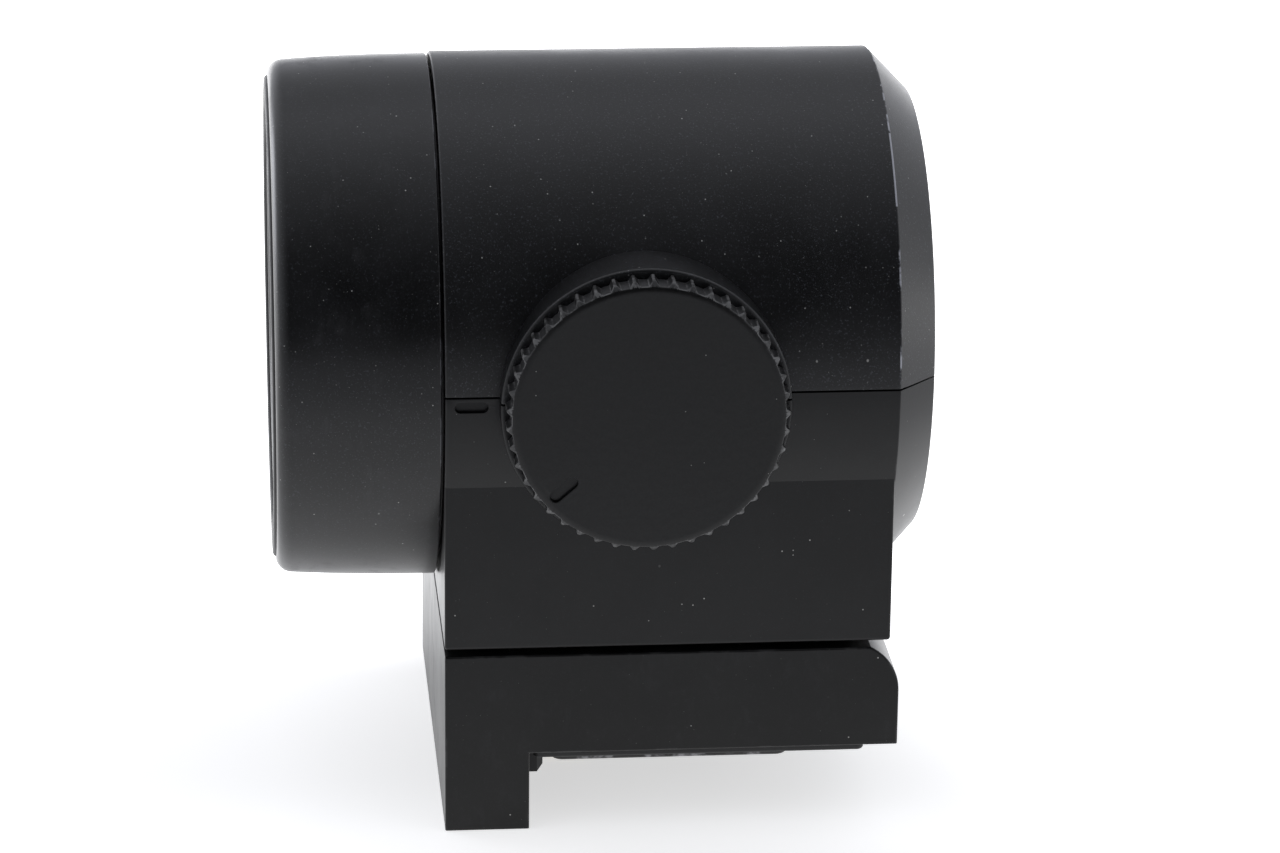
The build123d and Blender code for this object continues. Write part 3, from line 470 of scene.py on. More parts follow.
def make_studio():
    """White surroundings, darker towards the dial's side, with a bright panel at each end of the barrel."""
    world = bpy.data.worlds.new("studio")
    scene.world = world
    world.use_nodes = True
    tree = world.node_tree
    tree.nodes.clear()
    direction = add_node(tree, "ShaderNodeTexCoord").outputs["Generated"]

    def glow(towards, core, edge, level, surround):
        """Level round a direction, fading to the surround."""
        product = add_node(tree, "ShaderNodeVectorMath", (("Vector", direction),), operation="DOT_PRODUCT")
        product.inputs[1].default_value = Vector(towards).normalized()
        angle = calculate(tree, "ARCCOSINE", product.outputs["Value"])
        return stepped(tree, angle, core, edge, level, surround)

    level = calculate(
        tree,
        "MULTIPLY",
        glow(UNLIT_DIRECTION, UNLIT_CORE, UNLIT_EDGE, UNLIT_LEVEL, SKY_LEVEL),
        glow(BACK_DIRECTION, BACK_CORE, BACK_EDGE, BACK_LEVEL, 1.0),
    )
    level = calculate(tree, "MULTIPLY", level, glow(END_DIRECTION, END_CORE, END_EDGE, END_LEVEL, 1.0))
    for towards, core, edge, strength in PANELS:
        level = calculate(tree, "ADD", level, glow(towards, core, edge, strength, 0.0))
    lit = add_node(tree, "ShaderNodeBackground", (("Strength", level),))
    seen = add_node(tree, "ShaderNodeBackground", (("Strength", 1.0),))
    lit.inputs["Color"].default_value = SKY_COLOUR
    seen.inputs["Color"].default_value = (1, 1, 1, 1)
    camera_ray = add_node(tree, "ShaderNodeLightPath").outputs["Is Camera Ray"]
    mix = add_node(tree, "ShaderNodeMixShader", ((0, camera_ray), (1, lit.outputs[0]), (2, seen.outputs[0])))
    output = add_node(tree, "ShaderNodeOutputWorld")
    tree.links.new(mix.outputs[0], output.inputs[0])


def make_floor():
    """White table lit from inside, so that the part casts only a faint shadow on it."""
    bm = bmesh.new()
    level = (base_low.z - FLOOR_GAP) * MM
    corners = rectangle(-FLOOR_HALF, FLOOR_HALF, -FLOOR_HALF, FLOOR_HALF)
    bm.faces.new([bm.verts.new((x, y, level)) for x, y in corners])
    mesh = bpy.data.meshes.new("floor")
    bm.to_mesh(mesh)
    bm.free()
    floor = bpy.data.objects.new("floor", mesh)
    material = bpy.data.materials.new("floor_white")
    material.use_nodes = True
    tree = material.node_tree
    place = add_node(tree, "ShaderNodeTexCoord").outputs["Object"]
    along = add_node(tree, "ShaderNodeSeparateXYZ", (("Vector", place),)).outputs["Y"]
    glow = TABLE_STEPS[0][1]
    for (low, dim), (high, bright) in zip(TABLE_STEPS, TABLE_STEPS[1:]):
        glow = calculate(tree, "ADD", glow, stepped(tree, along, low, high, 0.0, bright - dim))
    # Painted pool of light and painted shade on the table
    for (x, y), radius, strength in TABLE_SPOTS:
        apart = add_node(tree, "ShaderNodeVectorMath", (("Vector", place),), operation="DISTANCE")
        apart.inputs[1].default_value = (x, y, level)
        glow = calculate(tree, "ADD", glow, stepped(tree, apart.outputs["Value"], 0.0, radius, strength, 0.0))
    cloud = add_node(tree, "ShaderNodeTexNoise", (("Vector", place), ("Scale", 9.0), ("Detail", 3.0)))
    glow = calculate(tree, "MULTIPLY", glow, stepped(tree, cloud.outputs["Fac"], 0.2, 0.8, 0.985, 1.015))
    surface = tree.nodes["Principled BSDF"]
    surface.inputs["Base Color"].default_value = (TABLE_ALBEDO, TABLE_ALBEDO, TABLE_ALBEDO, 1)
    surface.inputs["Emission Color"].default_value = (1, 1, 1, 1)
    tree.links.new(glow, surface.inputs["Emission Strength"])
    surface.inputs["Roughness"].default_value = 0.6
    surface.inputs["Specular IOR Level"].default_value = 0.2
    mesh.materials.append(material)
    scene.collection.objects.link(floor)


make_camera()
make_studio()
make_floor()

# ---- Materials ----


def coordinates(tree, scale=(1, 1, 1)):
    """Position on the part at rest, in millimetres, stretched by scale."""
    place = add_node(tree, "ShaderNodeTexCoord").outputs["Object"]
    mapping = add_node(tree, "ShaderNodeMapping", (("Vector", place),))
    mapping.inputs["Scale"].default_value = [s / MM for s in scale]
    return mapping.outputs[0]


def noise(tree, place, size, detail=2.0, roughness=0.5):
    """Noise with blotches about size millimetres across."""
    made = add_node(
        tree,
        "ShaderNodeTexNoise",
        (("Vector", place), ("Scale", 1 / size), ("Detail", detail), ("Roughness", roughness)),
    )
    return made.outputs["Fac"]


def specks(tree, place, spacing, radius, share):
    """Sparse round dots: 1 inside a dot. Share is the part of the cells that have one."""
    cells = add_node(tree, "ShaderNodeTexVoronoi", (("Vector", place), ("Scale", 1 / spacing)))
    dot = stepped(tree, cells.outputs["Distance"], radius * 0.5 / spacing, radius / spacing, 1.0, 0.0)
    channels = add_node(tree, "ShaderNodeSeparateColor", (("Color", cells.outputs["Color"]),))
    chosen = calculate(tree, "LESS_THAN", channels.outputs[0], share)
    return calculate(tree, "MULTIPLY", calculate(tree, "MULTIPLY", dot, chosen), channels.outputs[1])


def mixed(tree, share, first, second):
    """Colour between first and second."""
    made = add_node(tree, "ShaderNodeMix", data_type="RGBA")
    for slot, value in ((0, share), (6, first), (7, second)):
        if isinstance(value, bpy.types.NodeSocket):
            tree.links.new(value, made.inputs[slot])
        else:
            made.inputs[slot].default_value = value
    return made.outputs[2]


def colour(level, tint=(1, 1, 1)):
    return tuple(level * t for t in tint) + (1,)


def new_material(name, specular, metallic=0.0):
    material = bpy.data.materials.new(name)
    material.use_nodes = True
    surface = material.node_tree.nodes["Principled BSDF"]
    surface.inputs["Specular IOR Level"].default_value = specular
    surface.inputs["Metallic"].default_value = metallic
    return material, material.node_tree, surface


def surface_bump(tree, surface, heights, distance_mm):
    distance = distance_mm * MM
    bump = add_node(tree, "ShaderNodeBump", (("Height", heights), ("Strength", 1.0), ("Distance", distance)))
    tree.links.new(bump.outputs[0], surface.inputs["Normal"])


FLAKE_COLOUR = (0.2, 0.215, 0.25, 1)
SMUDGE_COLOUR = (0.022, 0.022, 0.024, 1)
DUST_COLOUR = (0.45, 0.45, 0.43, 1)


def coated_black(
    name,
    level,
    tint=(1, 1, 1),
    rough=0.35,
    specular=0.5,
    grain=0.12,
    grain_height=0.004,
    flakes=0.0,
    smudges=0.0,
    dust=0.3,
    worn_and_lit=0.5,
    bare_and_highlight=0.06,
):
    """Black paint or moulding: grain, uneven gloss, dust, wiped marks and rubbed edges in a bare colour; on
    the eyepiece ring's front edge that lighter edge colour is also a painted highlight.
    """
    material, tree, surface = new_material(name, specular)
    place = coordinates(tree)
    fine = noise(tree, place, grain, 3.0, 0.6)
    broad = noise(tree, place, 5.0, 4.0, 0.6)
    base = mixed(tree, stepped(tree, broad, 0.35, 0.65), colour(level * 0.7, tint), colour(level * 1.3, tint))
    gloss = stepped(tree, broad, 0.3, 0.7, rough * 0.93, rough * 1.07)
    if flakes:
        sparkle = stepped(tree, noise(tree, place, 0.13, 2.0, 0.7), 0.57, 0.72)
        base = mixed(tree, calculate(tree, "MULTIPLY", sparkle, flakes), base, FLAKE_COLOUR)
    if smudges:
        wiped = stepped(tree, noise(tree, place, 2.6, 5.0, 0.65), 0.48, 0.66)
        drawn_out = noise(tree, coordinates(tree, (1.0, 0.35, 0.35)), 0.8, 4.0, 0.65)
        marks = calculate(tree, "MULTIPLY", wiped, stepped(tree, drawn_out, 0.42, 0.62))
        base = mixed(tree, calculate(tree, "MULTIPLY", marks, smudges), base, SMUDGE_COLOUR)
        gloss = calculate(tree, "MULTIPLY_ADD", marks, 0.14 * smudges, gloss)
    edge = add_node(tree, "ShaderNodeAttribute", attribute_name="wear_and_highlight").outputs["Fac"]
    patchy = stepped(tree, noise(tree, place, 2.2, 4.0, 0.6), 0.5, 0.6)
    through = calculate(tree, "SUBTRACT", edge, 1.0)
    bared_and_lit = calculate(tree, "MAXIMUM", calculate(tree, "MULTIPLY", edge, patchy), through)
    rubbed_and_lit = calculate(tree, "MULTIPLY", calculate(tree, "MINIMUM", bared_and_lit, 1.0), worn_and_lit)
    # Lighter rounded edges: rubbed coat, and on the eyepiece ring's front edge also a painted highlight
    base = mixed(tree, rubbed_and_lit, base, colour(bare_and_highlight, tint))
    gloss = calculate(tree, "MULTIPLY_ADD", rubbed_and_lit, -0.1, gloss)
    if dust:
        powder = specks(tree, place, 0.22, 0.034, 0.3 * dust)
        dots = specks(tree, place, 0.35, 0.06, 0.12 * dust)
        lint = specks(tree, coordinates(tree, (1.0, 0.6, 0.8)), 1.6, 0.11, 0.1)
        settled = calculate(tree, "MAXIMUM", calculate(tree, "MULTIPLY", powder, 0.4), dots)
        base = mixed(tree, calculate(tree, "MAXIMUM", settled, lint), base, DUST_COLOUR)
    tree.links.new(base, surface.inputs["Base Color"])
    tree.links.new(gloss, surface.inputs["Roughness"])
    surface_bump(tree, surface, fine, grain_height)
    return material


KNOB_VALLEY_R = 8.47
# Light grey of the valley floors between the ridges: grime, and painted light standing in for the lit floors
GRIME_AND_LIT_FLOOR_COLOUR = (0.05, 0.05, 0.051, 1)
# Grey of the ridges' rounded edges: rubbed wear, which also paints their highlight
RUBBED_AND_HIGHLIGHT_GREY = (0.15, 0.15, 0.15, 1)
KNOB_DUST_COLOUR = (0.4, 0.4, 0.38, 1)


def dial_radius(tree, place):
    """Distance from the dial's axis, in millimetres."""
    flat = add_node(tree, "ShaderNodeMapping", (("Vector", place),))
    flat.inputs["Location"].default_value = (-dial_x, 0, -dial_z)
    flat.inputs["Scale"].default_value = (1, 0, 1)
    length = add_node(tree, "ShaderNodeVectorMath", (("Vector", flat.outputs[0]),), operation="LENGTH")
    return length.outputs["Value"]


def leather_black(name, level, rough, specular):
    """Black moulding with a fine leather grain, raised cells between shallow creases.

    Grime and painted light lie on the floors between the dial's ridges, and the ridges' edges are rubbed and
    carry a painted highlight.
    """
    material, tree, surface = new_material(name, specular)
    place = coordinates(tree)
    warp = add_node(tree, "ShaderNodeTexNoise", (("Vector", place), ("Scale", 1.2), ("Detail", 2.0)))
    ways = ((0, 0.35), (4, place), (5, warp.outputs["Color"]))
    bent = add_node(tree, "ShaderNodeMix", ways, data_type="VECTOR")
    cells = add_node(
        tree,
        "ShaderNodeTexVoronoi",
        (("Vector", bent.outputs[1]), ("Scale", 3.2), ("Randomness", 1.0)),
        feature="SMOOTH_F1",
    )
    cells.inputs["Smoothness"].default_value = 0.6
    pores = noise(tree, place, 0.16, 3.0, 0.6)
    swell = noise(tree, place, 0.9, 2.0)
    height = calculate(tree, "MULTIPLY_ADD", pores, 0.3, cells.outputs["Distance"])
    height = calculate(tree, "MULTIPLY_ADD", swell, 0.8, height)
    base = mixed(tree, stepped(tree, pores, 0.3, 0.7), colour(level * 0.8), colour(level * 1.25))
    edge = add_node(tree, "ShaderNodeAttribute", attribute_name="wear_and_highlight").outputs["Fac"]
    patchy = stepped(tree, noise(tree, place, 0.6, 3.0), 0.45, 0.6)
    rubbed_and_lit = calculate(tree, "MULTIPLY", edge, stepped(tree, patchy, 0.0, 1.0, 0.15, 0.8))
    radius = dial_radius(tree, place)
    inside = stepped(tree, radius, KNOB_VALLEY_R - 0.02, KNOB_VALLEY_R)
    near_floor = stepped(tree, radius, KNOB_VALLEY_R + 0.05, KNOB_VALLEY_R + 0.25, 1.0, 0.25)
    speckled = stepped(tree, noise(tree, place, 0.13, 3.0, 0.7), 0.35, 0.65, 0.35, 1.0)
    grime_and_lit_floor = calculate(tree, "MULTIPLY", calculate(tree, "MULTIPLY", inside, near_floor), speckled)
    # Lighter valley floors: grime, and painted light
    base = mixed(tree, grime_and_lit_floor, base, GRIME_AND_LIT_FLOOR_COLOUR)
    # Lighter ridge edges: rubbed wear, and a painted highlight standing in for the glints on their rounded
    # edges
    base = mixed(tree, rubbed_and_lit, base, RUBBED_AND_HIGHLIGHT_GREY)
    base = mixed(tree, specks(tree, place, 0.4, 0.05, 0.02), base, KNOB_DUST_COLOUR)
    tree.links.new(base, surface.inputs["Base Color"])
    gloss = stepped(tree, swell, 0.2, 0.8, rough * 0.93, rough * 1.07)
    tree.links.new(gloss, surface.inputs["Roughness"])
    surface_bump(tree, surface, height, 0.007)
    return material


def machined(name, tint, rough, stretch, grain_height=0.0015):
    """Bare metal with fine tool marks drawn out along one axis."""
    material, tree, surface = new_material(name, 0.5, metallic=1.0)
    lines = noise(tree, coordinates(tree, stretch), 0.12, 3.0, 0.6)
    stain = noise(tree, coordinates(tree), 2.2, 3.0)
    base = mixed(tree, stepped(tree, stain, 0.3, 0.75), colour(0.8, tint), colour(1.0, tint))
    tree.links.new(base, surface.inputs["Base Color"])
    gloss = stepped(tree, lines, 0.25, 0.75, rough * 0.8, rough * 1.25)
    tree.links.new(gloss, surface.inputs["Roughness"])
    surface_bump(tree, surface, lines, grain_height)
    return material


def circuit_green(name):
    """Solder mask over faint copper tracks."""
    material, tree, surface = new_material(name, 0.5)
    place = coordinates(tree)
    tracks = add_node(
        tree,
        "ShaderNodeTexBrick",
        (("Vector", place), ("Scale", 0.55), ("Mortar Size", 0.03), ("Color1", (0, 0, 0, 1))),
    )
    tracks.inputs["Color2"].default_value = (0.15, 0.15, 0.15, 1)
    tracks.inputs["Mortar"].default_value = (1, 1, 1, 1)
    mottle = noise(tree, place, 1.5, 3.0)
    mask = mixed(tree, mottle, (0.008, 0.07, 0.03, 1), (0.012, 0.11, 0.05, 1))
    base = mixed(tree, tracks.outputs["Color"], mask, (0.03, 0.2, 0.08, 1))
    tree.links.new(base, surface.inputs["Base Color"])
    tree.links.new(stepped(tree, mottle, 0.2, 0.8, 0.25, 0.4), surface.inputs["Roughness"])
    surface_bump(tree, surface, tracks.outputs["Color"], 0.01)
    return material


def amber_film(name):
    """Flexible circuit: amber film with copper lines along it."""
    material, tree, surface = new_material(name, 0.5)
    place = coordinates(tree, (0.0, 1.0, 0.0))
    lines = add_node(tree, "ShaderNodeTexWave", (("Vector", place), ("Scale", 0.75)), bands_direction="Y")
    film = noise(tree, coordinates(tree), 1.0, 3.0)
    amber = mixed(tree, film, (0.35, 0.13, 0.02, 1), (0.5, 0.22, 0.04, 1))
    stripe = stepped(tree, lines.outputs["Fac"], 0.45, 0.6)
    base = mixed(tree, stripe, amber, (0.62, 0.33, 0.12, 1))
    tree.links.new(base, surface.inputs["Base Color"])
    tree.links.new(stepped(tree, film, 0.2, 0.8, 0.25, 0.38), surface.inputs["Roughness"])
    surface_bump(tree, surface, stripe, 0.01)
    return material


def clear_glass(name, tint, smear):
    """Coated glass with a faint wiped film."""
    material, tree, surface = new_material(name, 0.5)
    surface.inputs["Transmission Weight"].default_value = 1.0
    surface.inputs["IOR"].default_value = 1.52
    film = noise(tree, coordinates(tree), 3.0, 4.0, 0.6)
    base = mixed(tree, film, colour(1.0, tint), colour(0.96, tint))
    tree.links.new(base, surface.inputs["Base Color"])
    tree.links.new(stepped(tree, film, 0.5, 0.8, 0.01, smear), surface.inputs["Roughness"])
    return material


def even_plastic(name, low, high, rough, specular=0.45, grain=0.2, grain_height=0.004):
    """Moulded plastic or rubber, with mottled colour and a fine grain."""
    material, tree, surface = new_material(name, specular)
    place = coordinates(tree)
    mottle = noise(tree, place, 2.4, 4.0, 0.6)
    tree.links.new(mixed(tree, mottle, low, high), surface.inputs["Base Color"])
    tree.links.new(stepped(tree, mottle, 0.25, 0.75, rough * 0.9, rough * 1.1), surface.inputs["Roughness"])
    surface_bump(tree, surface, noise(tree, place, grain, 2.0), grain_height)
    return material


COOL = (0.96, 0.98, 1.08)

materials = {
    "shell_paint": coated_black(
        "shell_paint",
        0.006,
        COOL,
        rough=0.34,
        grain=0.12,
        grain_height=0.006,
        flakes=0.22,
        dust=0.6,
        worn_and_lit=0.9,
        bare_and_highlight=0.45,
    ),
    "housing_plastic": coated_black(
        "housing_plastic",
        0.0052,
        (1, 1, 1.02),
        rough=0.34,
        specular=0.36,
        grain=0.1,
        grain_height=0.003,
        flakes=0.02,
        dust=0.16,
        worn_and_lit=0.35,
    ),
    "ring_coat": coated_black(
        "ring_coat",
        0.0055,
        COOL,
        rough=0.3,
        grain=0.14,
        grain_height=0.003,
        flakes=0.14,
        smudges=0.5,
        dust=0.6,
        worn_and_lit=0.6,
        bare_and_highlight=0.12,
    ),
    "base_plastic": coated_black(
        "base_plastic",
        0.005,
        rough=0.34,
        specular=0.31,
        grain=0.11,
        grain_height=0.004,
        flakes=0.02,
        smudges=0.3,
        dust=0.16,
        worn_and_lit=0.35,
    ),
    "knob_plastic": leather_black("knob_plastic", 0.0056, 0.3, 0.38),
    "black_anodised": coated_black(
        "black_anodised", 0.01, (1, 1, 1.06), rough=0.34, grain=0.08, grain_height=0.003, dust=0.0, worn_and_lit=0.0
    ),
    "pad_rubber": even_plastic("pad_rubber", (0.012, 0.012, 0.012, 1), (0.02, 0.02, 0.02, 1), 0.5, 0.4),
    "steel": machined("steel", (0.62, 0.62, 0.63), 0.28, (0.15, 1.0, 1.0)),
    "black_screw": machined("black_screw", (0.05, 0.05, 0.055), 0.32, (1.0, 1.0, 0.3)),
    "foot_metal": coated_black(
        "foot_metal",
        0.011,
        (1, 1, 1.05),
        rough=0.3,
        specular=0.55,
        grain=0.25,
        grain_height=0.003,
        dust=0.1,
        worn_and_lit=1.0,
        bare_and_highlight=0.3,
    ),
    "brass": machined("brass", (0.8, 0.58, 0.26), 0.25, (1.0, 0.15, 1.0)),
    "circuit_board": circuit_green("circuit_board"),
    "chip_black": even_plastic("chip_black", (0.012, 0.012, 0.013, 1), (0.022, 0.022, 0.023, 1), 0.5),
    "flex_film": amber_film("flex_film"),
    "inner_black": even_plastic("inner_black", (0.004, 0.004, 0.004, 1), (0.008, 0.008, 0.008, 1), 0.8, 0.2),
    "optical_glass": clear_glass("optical_glass", (0.93, 0.97, 1.0), 0.04),
    "panel_glass": even_plastic("panel_glass", (0.01, 0.011, 0.014, 1), (0.014, 0.015, 0.02, 1), 0.08, 0.6),
    "backlight_white": even_plastic("backlight_white", (0.7, 0.7, 0.7, 1), (0.8, 0.8, 0.79, 1), 0.4),
    "contact_gold": machined("contact_gold", (0.95, 0.68, 0.25), 0.2, (0.2, 1.0, 1.0)),
}

for thing in nodes.values():
    for holder in thing.material_slots:
        holder.material = materials[holder.material.name.split(".")[0]]

# ---- Head: shells ----

chamfer_start = base_high.x - 0.65
front_rim_r = 14.35
barrel_edge = 0.16
chamfer_edge = 0.16
rim_edge = 0.35
box_edge = 0.25
boss_r = 9.04
boss_edge = 0.2
boss_root, bore_end = 11, 14
lip_front = barrel_rear + 1.4
inner_r = barrel_r - 1.5
tube_r = 13.2
ledge_rear, ledge_front = 11.9, 13.4
ledge_r = 12.0
recess_r = plate_high.z - barrel_z + 0.05
mouth_chamfer = 0.15
floor_top = box_bottom + 1.6
inner_half = box_half - 1.55
seam_edge = 0.07
mark_length, mark_width, mark_depth = 2.1, 0.73, 0.35
index_x, index_z = -13.35, barrel_z - 0.62
ear_slot_x = (7.9, 11.8)
ear_slots = ((-10.3, -7.7), (7.7, 10.3))
ribbon_slot_x, ribbon_slot_y = (8.9, 11.6), (-2.9, 2.9)
post_r, post_top = 1.5, 14.2
pilot_r, pilot_low = 0.5, 11.6
board_posts = [(x, y) for x in (-8.2, 3.4) for y in (-11.4, 11.4)]

# Angles round the barrel between which the chamfer's edge is rubbed through to the metal
rubbed_from, rubbed_to = 40, 58


def box_weight(edge):
    """Full width on the box's bottom edges, half on its upright ones."""
    ends = ends_of(edge)
    if all(abs(end.z - box_bottom) < 1e-4 for end in ends):
        return 1.0
    return 0.5 if abs(ends[0].z - ends[1].z) > 1 else 0.0


def head_blank():
    """Both shells in one: barrel, box and dial boss, with the spaces inside them."""
    barrel = rounded(
        [
            (barrel_rear, 0, 0),
            (barrel_rear, barrel_r, barrel_edge),
            (chamfer_start, barrel_r, chamfer_edge),
            (barrel_front, front_rim_r, rim_edge),
            (barrel_front, 0, 0),
        ],
        8,
    )
    box = block((barrel_rear, chamfer_start), (-box_half, box_half), (box_bottom, barrel_z))
    box = bevelled(box, box_weight, box_edge, 8)
    boss = [(boss_root, 0, 0), (boss_root, boss_r, 0), (boss_face, boss_r, boss_edge), (boss_face, 0, 0)]
    blank = boolean(lathe(barrel, along_x), box, "UNION")
    blank = boolean(blank, lathe(rounded(boss, 8), along_dial, 192), "UNION")
    beyond = barrel_front + 1
    mouth_r = recess_r + mouth_chamfer
    space = [
        (barrel_rear - 1, 0),
        (barrel_rear - 1, tube_r),
        (lip_front, tube_r),
        (lip_front, inner_r),
        (ledge_rear, inner_r),
        (ledge_rear, ledge_r),
        (ledge_front, ledge_r),
        (ledge_front, recess_r),
        (barrel_front - mouth_chamfer, recess_r),
        (barrel_front, mouth_r),
        (beyond, mouth_r),
        (beyond, 0),
    ]
    hollow = block((lip_front, ledge_rear), (-inner_half, inner_half), (floor_top, barrel_z))
    bore = cylinder((dial_x, dial_z), bush_high.x - dial_x, -boss_face - 1, -bore_end, across)
    return cut(blank, lathe(space, along_x, 192), hollow, bore)


def seam_weight(level):
    """Rounds the outer edges that lie at the seam's level."""

    def weight(edge):
        ends = ends_of(edge)
        at_seam = all(abs(end.z - level) < 1e-3 and abs(end.y) > 16 for end in ends)
        in_bore = all(abs(end.x - dial_x) < 3 and end.y < 0 for end in ends)
        return 1.0 if at_seam and not in_bore and face_turn(edge) > SHARP_TURN else 0.0

    return weight


def front_rub(centre):
    """Rubbed along the chamfer's rear edge only, and through to the metal high up on the dial's side."""
    if abs(centre.x - chamfer_start) > 2 * chamfer_edge:
        return 0.0
    angle = degrees(atan2(centre.z - barrel_z, -centre.y))
    return 2.0 if rubbed_from < angle < rubbed_to else 1.0


def make_shells():
    """The blank parted at the seam: the upper shell, and the lower housing with its slots, posts and mark."""
    blank = head_blank()
    far = 60
    above = block((-far, far), (-far, far), (seam_high, far))
    below = block((-far, far), (-far, far), (-far, seam_low))
    upper = boolean(blank.copy(), above, "INTERSECT")
    upper = bevelled(upper, seam_weight(seam_high), seam_edge, 3)
    paint = materials["shell_paint"]
    piece("upper_shell_skin", upper, "head", paint, ["upper_shell"], front_rub)

    lower = boolean(blank, below, "INTERSECT")
    through = (box_bottom - 1, floor_top + 1)
    openings = [block(ear_slot_x, slot, through) for slot in ear_slots]
    openings.append(block(ribbon_slot_x, ribbon_slot_y, through))
    lower = cut(lower, joined(*openings))
    posts = [cylinder(place, post_r, floor_top - 0.3, post_top, upward, 32) for place in board_posts]
    lower = boolean(lower, joined(*posts), "UNION")
    holes = [cylinder(place, pilot_r, pilot_low, 15, upward, 24) for place in board_posts]
    lower = cut(lower, joined(*holes))
    surface_y = -sqrt(barrel_r**2 - (index_z - barrel_z) ** 2)
    outline = slot_outline((index_x, index_z), mark_length, mark_width, 0)
    lower = cut(lower, prism(outline, -20, surface_y + mark_depth, across))
    at_seam = seam_weight(seam_low)

    def lower_weight(edge):
        ends = ends_of(edge)
        near = all(
            abs(end.x - index_x) < mark_length / 2 + 0.01
            and abs(end.z - index_z) < mark_width / 2 + 0.01
            and end.y < surface_y + 0.1
            for end in ends
        )
        return 0.8 if near and face_turn(edge) > SHARP_TURN else at_seam(edge)

    lower = bevelled(lower, lower_weight, seam_edge, 3)
    skin = materials["housing_plastic"]
    piece("lower_housing_skin", lower, "head", skin, ["lower_housing"], front_rub)


# ---- Head: eyepiece ring, pad and front plate ----

skirt_r = ring_high.z - barrel_z
tube_rear = ring_rear + 1.2
rest_r = 15.3
groove = 0.18
skirt_edge = 0.1
pad_inner, pad_outer = 13.9, pad_high.z - barrel_z
plate_rub = 0.2


def make_eyepiece():
    """Ring with its tube end and rounded rear edge, and the soft pad in its rear face."""
    skirt_start = barrel_rear - groove
    shoulder = (ring_rear + 1.0, 16.6)
    lip = (ring_rear, 15.8)
    edge = (skirt_start - skirt_edge, skirt_r)
    profile = [(tube_rear, 11.6), (tube_rear, tube_r), (barrel_rear, tube_r), (barrel_rear, rest_r)]
    profile += [(skirt_start, rest_r)]
    profile += arc((edge[0], skirt_r - skirt_edge), skirt_edge, 0, 90, 6)
    profile += arc_through(edge, (-20.4, skirt_r - 0.07), shoulder, 14)[1:]
    profile += arc_through(shoulder, (ring_rear + 0.37, 16.37), lip, 16)[1:]
    profile += [(ring_rear, pad_outer), (pad_high.x, pad_outer), (pad_high.x, pad_inner)]
    profile += rounded([(ring_rear, pad_inner, 0.06), (ring_rear, 13.4, 0.2), (tube_rear, 11.6, 0.08)], 5)
    ring = lathe(profile, along_x, 288)

    # The skirt's front edge is lightened: rubbed wear and a painted highlight
    def skirt_highlight_and_rub(centre):
        return 1.0 if centre.x > skirt_start - 2 * skirt_edge else 0.0

    coat = materials["ring_coat"]
    piece("eyepiece_ring_coat", ring, "head", coat, ["eyepiece_ring"], skirt_highlight_and_rub)

    pad = rounded(
        [
            (pad_low.x, pad_inner, 0.3),
            (pad_low.x, pad_outer, 0.3),
            (pad_high.x, pad_outer, 0),
            (pad_high.x, pad_inner, 0),
        ],
        8,
    )
    rubber = materials["pad_rubber"]
    piece("eyecup_pad_soft", lathe(pad, along_x), "head", rubber, ["eyecup_pad"])


def make_front_plate():
    """Disc in the front recess, with a shallow dish and a fine groove near its rim."""
    seat_r = ledge_r - 0.1
    rim_r = plate_high.z - barrel_z
    face = plate_high.x
    profile = [(plate_low.x, 0), (plate_low.x, seat_r), (ledge_front, seat_r), (ledge_front, rim_r)]
    rim_edge_r, groove_depth, dish_depth = 0.2, 0.15, 0.35
    profile += arc((face - rim_edge_r, rim_r - rim_edge_r), rim_edge_r, 90, 0, 6)
    profile += [(face, 12.3), (face - groove_depth, 12.15), (face - groove_depth, 11.9), (face, 11.75)]
    profile += [(face, 11.0), (face - dish_depth, 10.0), (face - dish_depth, 0)]
    plate = lathe(profile, along_x)
    paint = materials["shell_paint"]
    piece("front_plate_skin", plate, "head", paint, ["front_plate"], lambda centre: plate_rub)


# ---- Dial knob ----

knob_face, knob_rear = -knob_low.y, -knob_high.y
valley_r, tip_r = KNOB_VALLEY_R, (knob_high.z - knob_low.z) / 2
ridge_count = 45
ridge_first = 0.5
ridge_foot, ridge_crest = 0.31, 0.08
face_r, round_r = 8.05, 0.9
front_edge = 0.05
rear_edge = 0.06
back_r, back_depth = 7.2, 0.6
dial_mark_r, dial_mark_angle = 6.95, 221
dial_mark_length, dial_mark_width, dial_mark_depth = 2.1, 0.75, 0.3


def knob_outline(inset):
    """Radii and angles of the ridged rim, drawn in by inset."""
    points = []
    flank = atan2(ridge_foot - ridge_crest, tip_r - valley_r)
    narrow = inset * (1 - sin(flank)) / cos(flank)
    pitch = 2 * pi / ridge_count
    for ridge in range(ridge_count):
        middle = radians(ridge_first) + pitch * ridge
        half_ridge = (
            (valley_r, ridge_foot + 0.03),
            (valley_r + 0.015, ridge_foot),
            (valley_r + 0.05, ridge_foot - 0.035),
            (tip_r - 0.06, ridge_crest + 0.03),
            (tip_r - 0.015, ridge_crest),
            (tip_r, ridge_crest - 0.045),
        )
        for radius, half in half_ridge:
            points.append((radius - inset, middle - max(half - narrow, 0.01) / radius))
        for radius, half in reversed(half_ridge):
            points.append((radius - inset, middle + max(half - narrow, 0.01) / radius))
        foot = (ridge_foot + 0.03 - narrow) / valley_r
        for step in range(1, 4):
            points.append((valley_r - inset, middle + foot + (pitch - 2 * foot) * step / 4))
    return points


def face_depth(radius):
    """How far the rounded face lies behind its flat middle."""
    return round_r - sqrt(round_r**2 - (radius - face_r) ** 2)


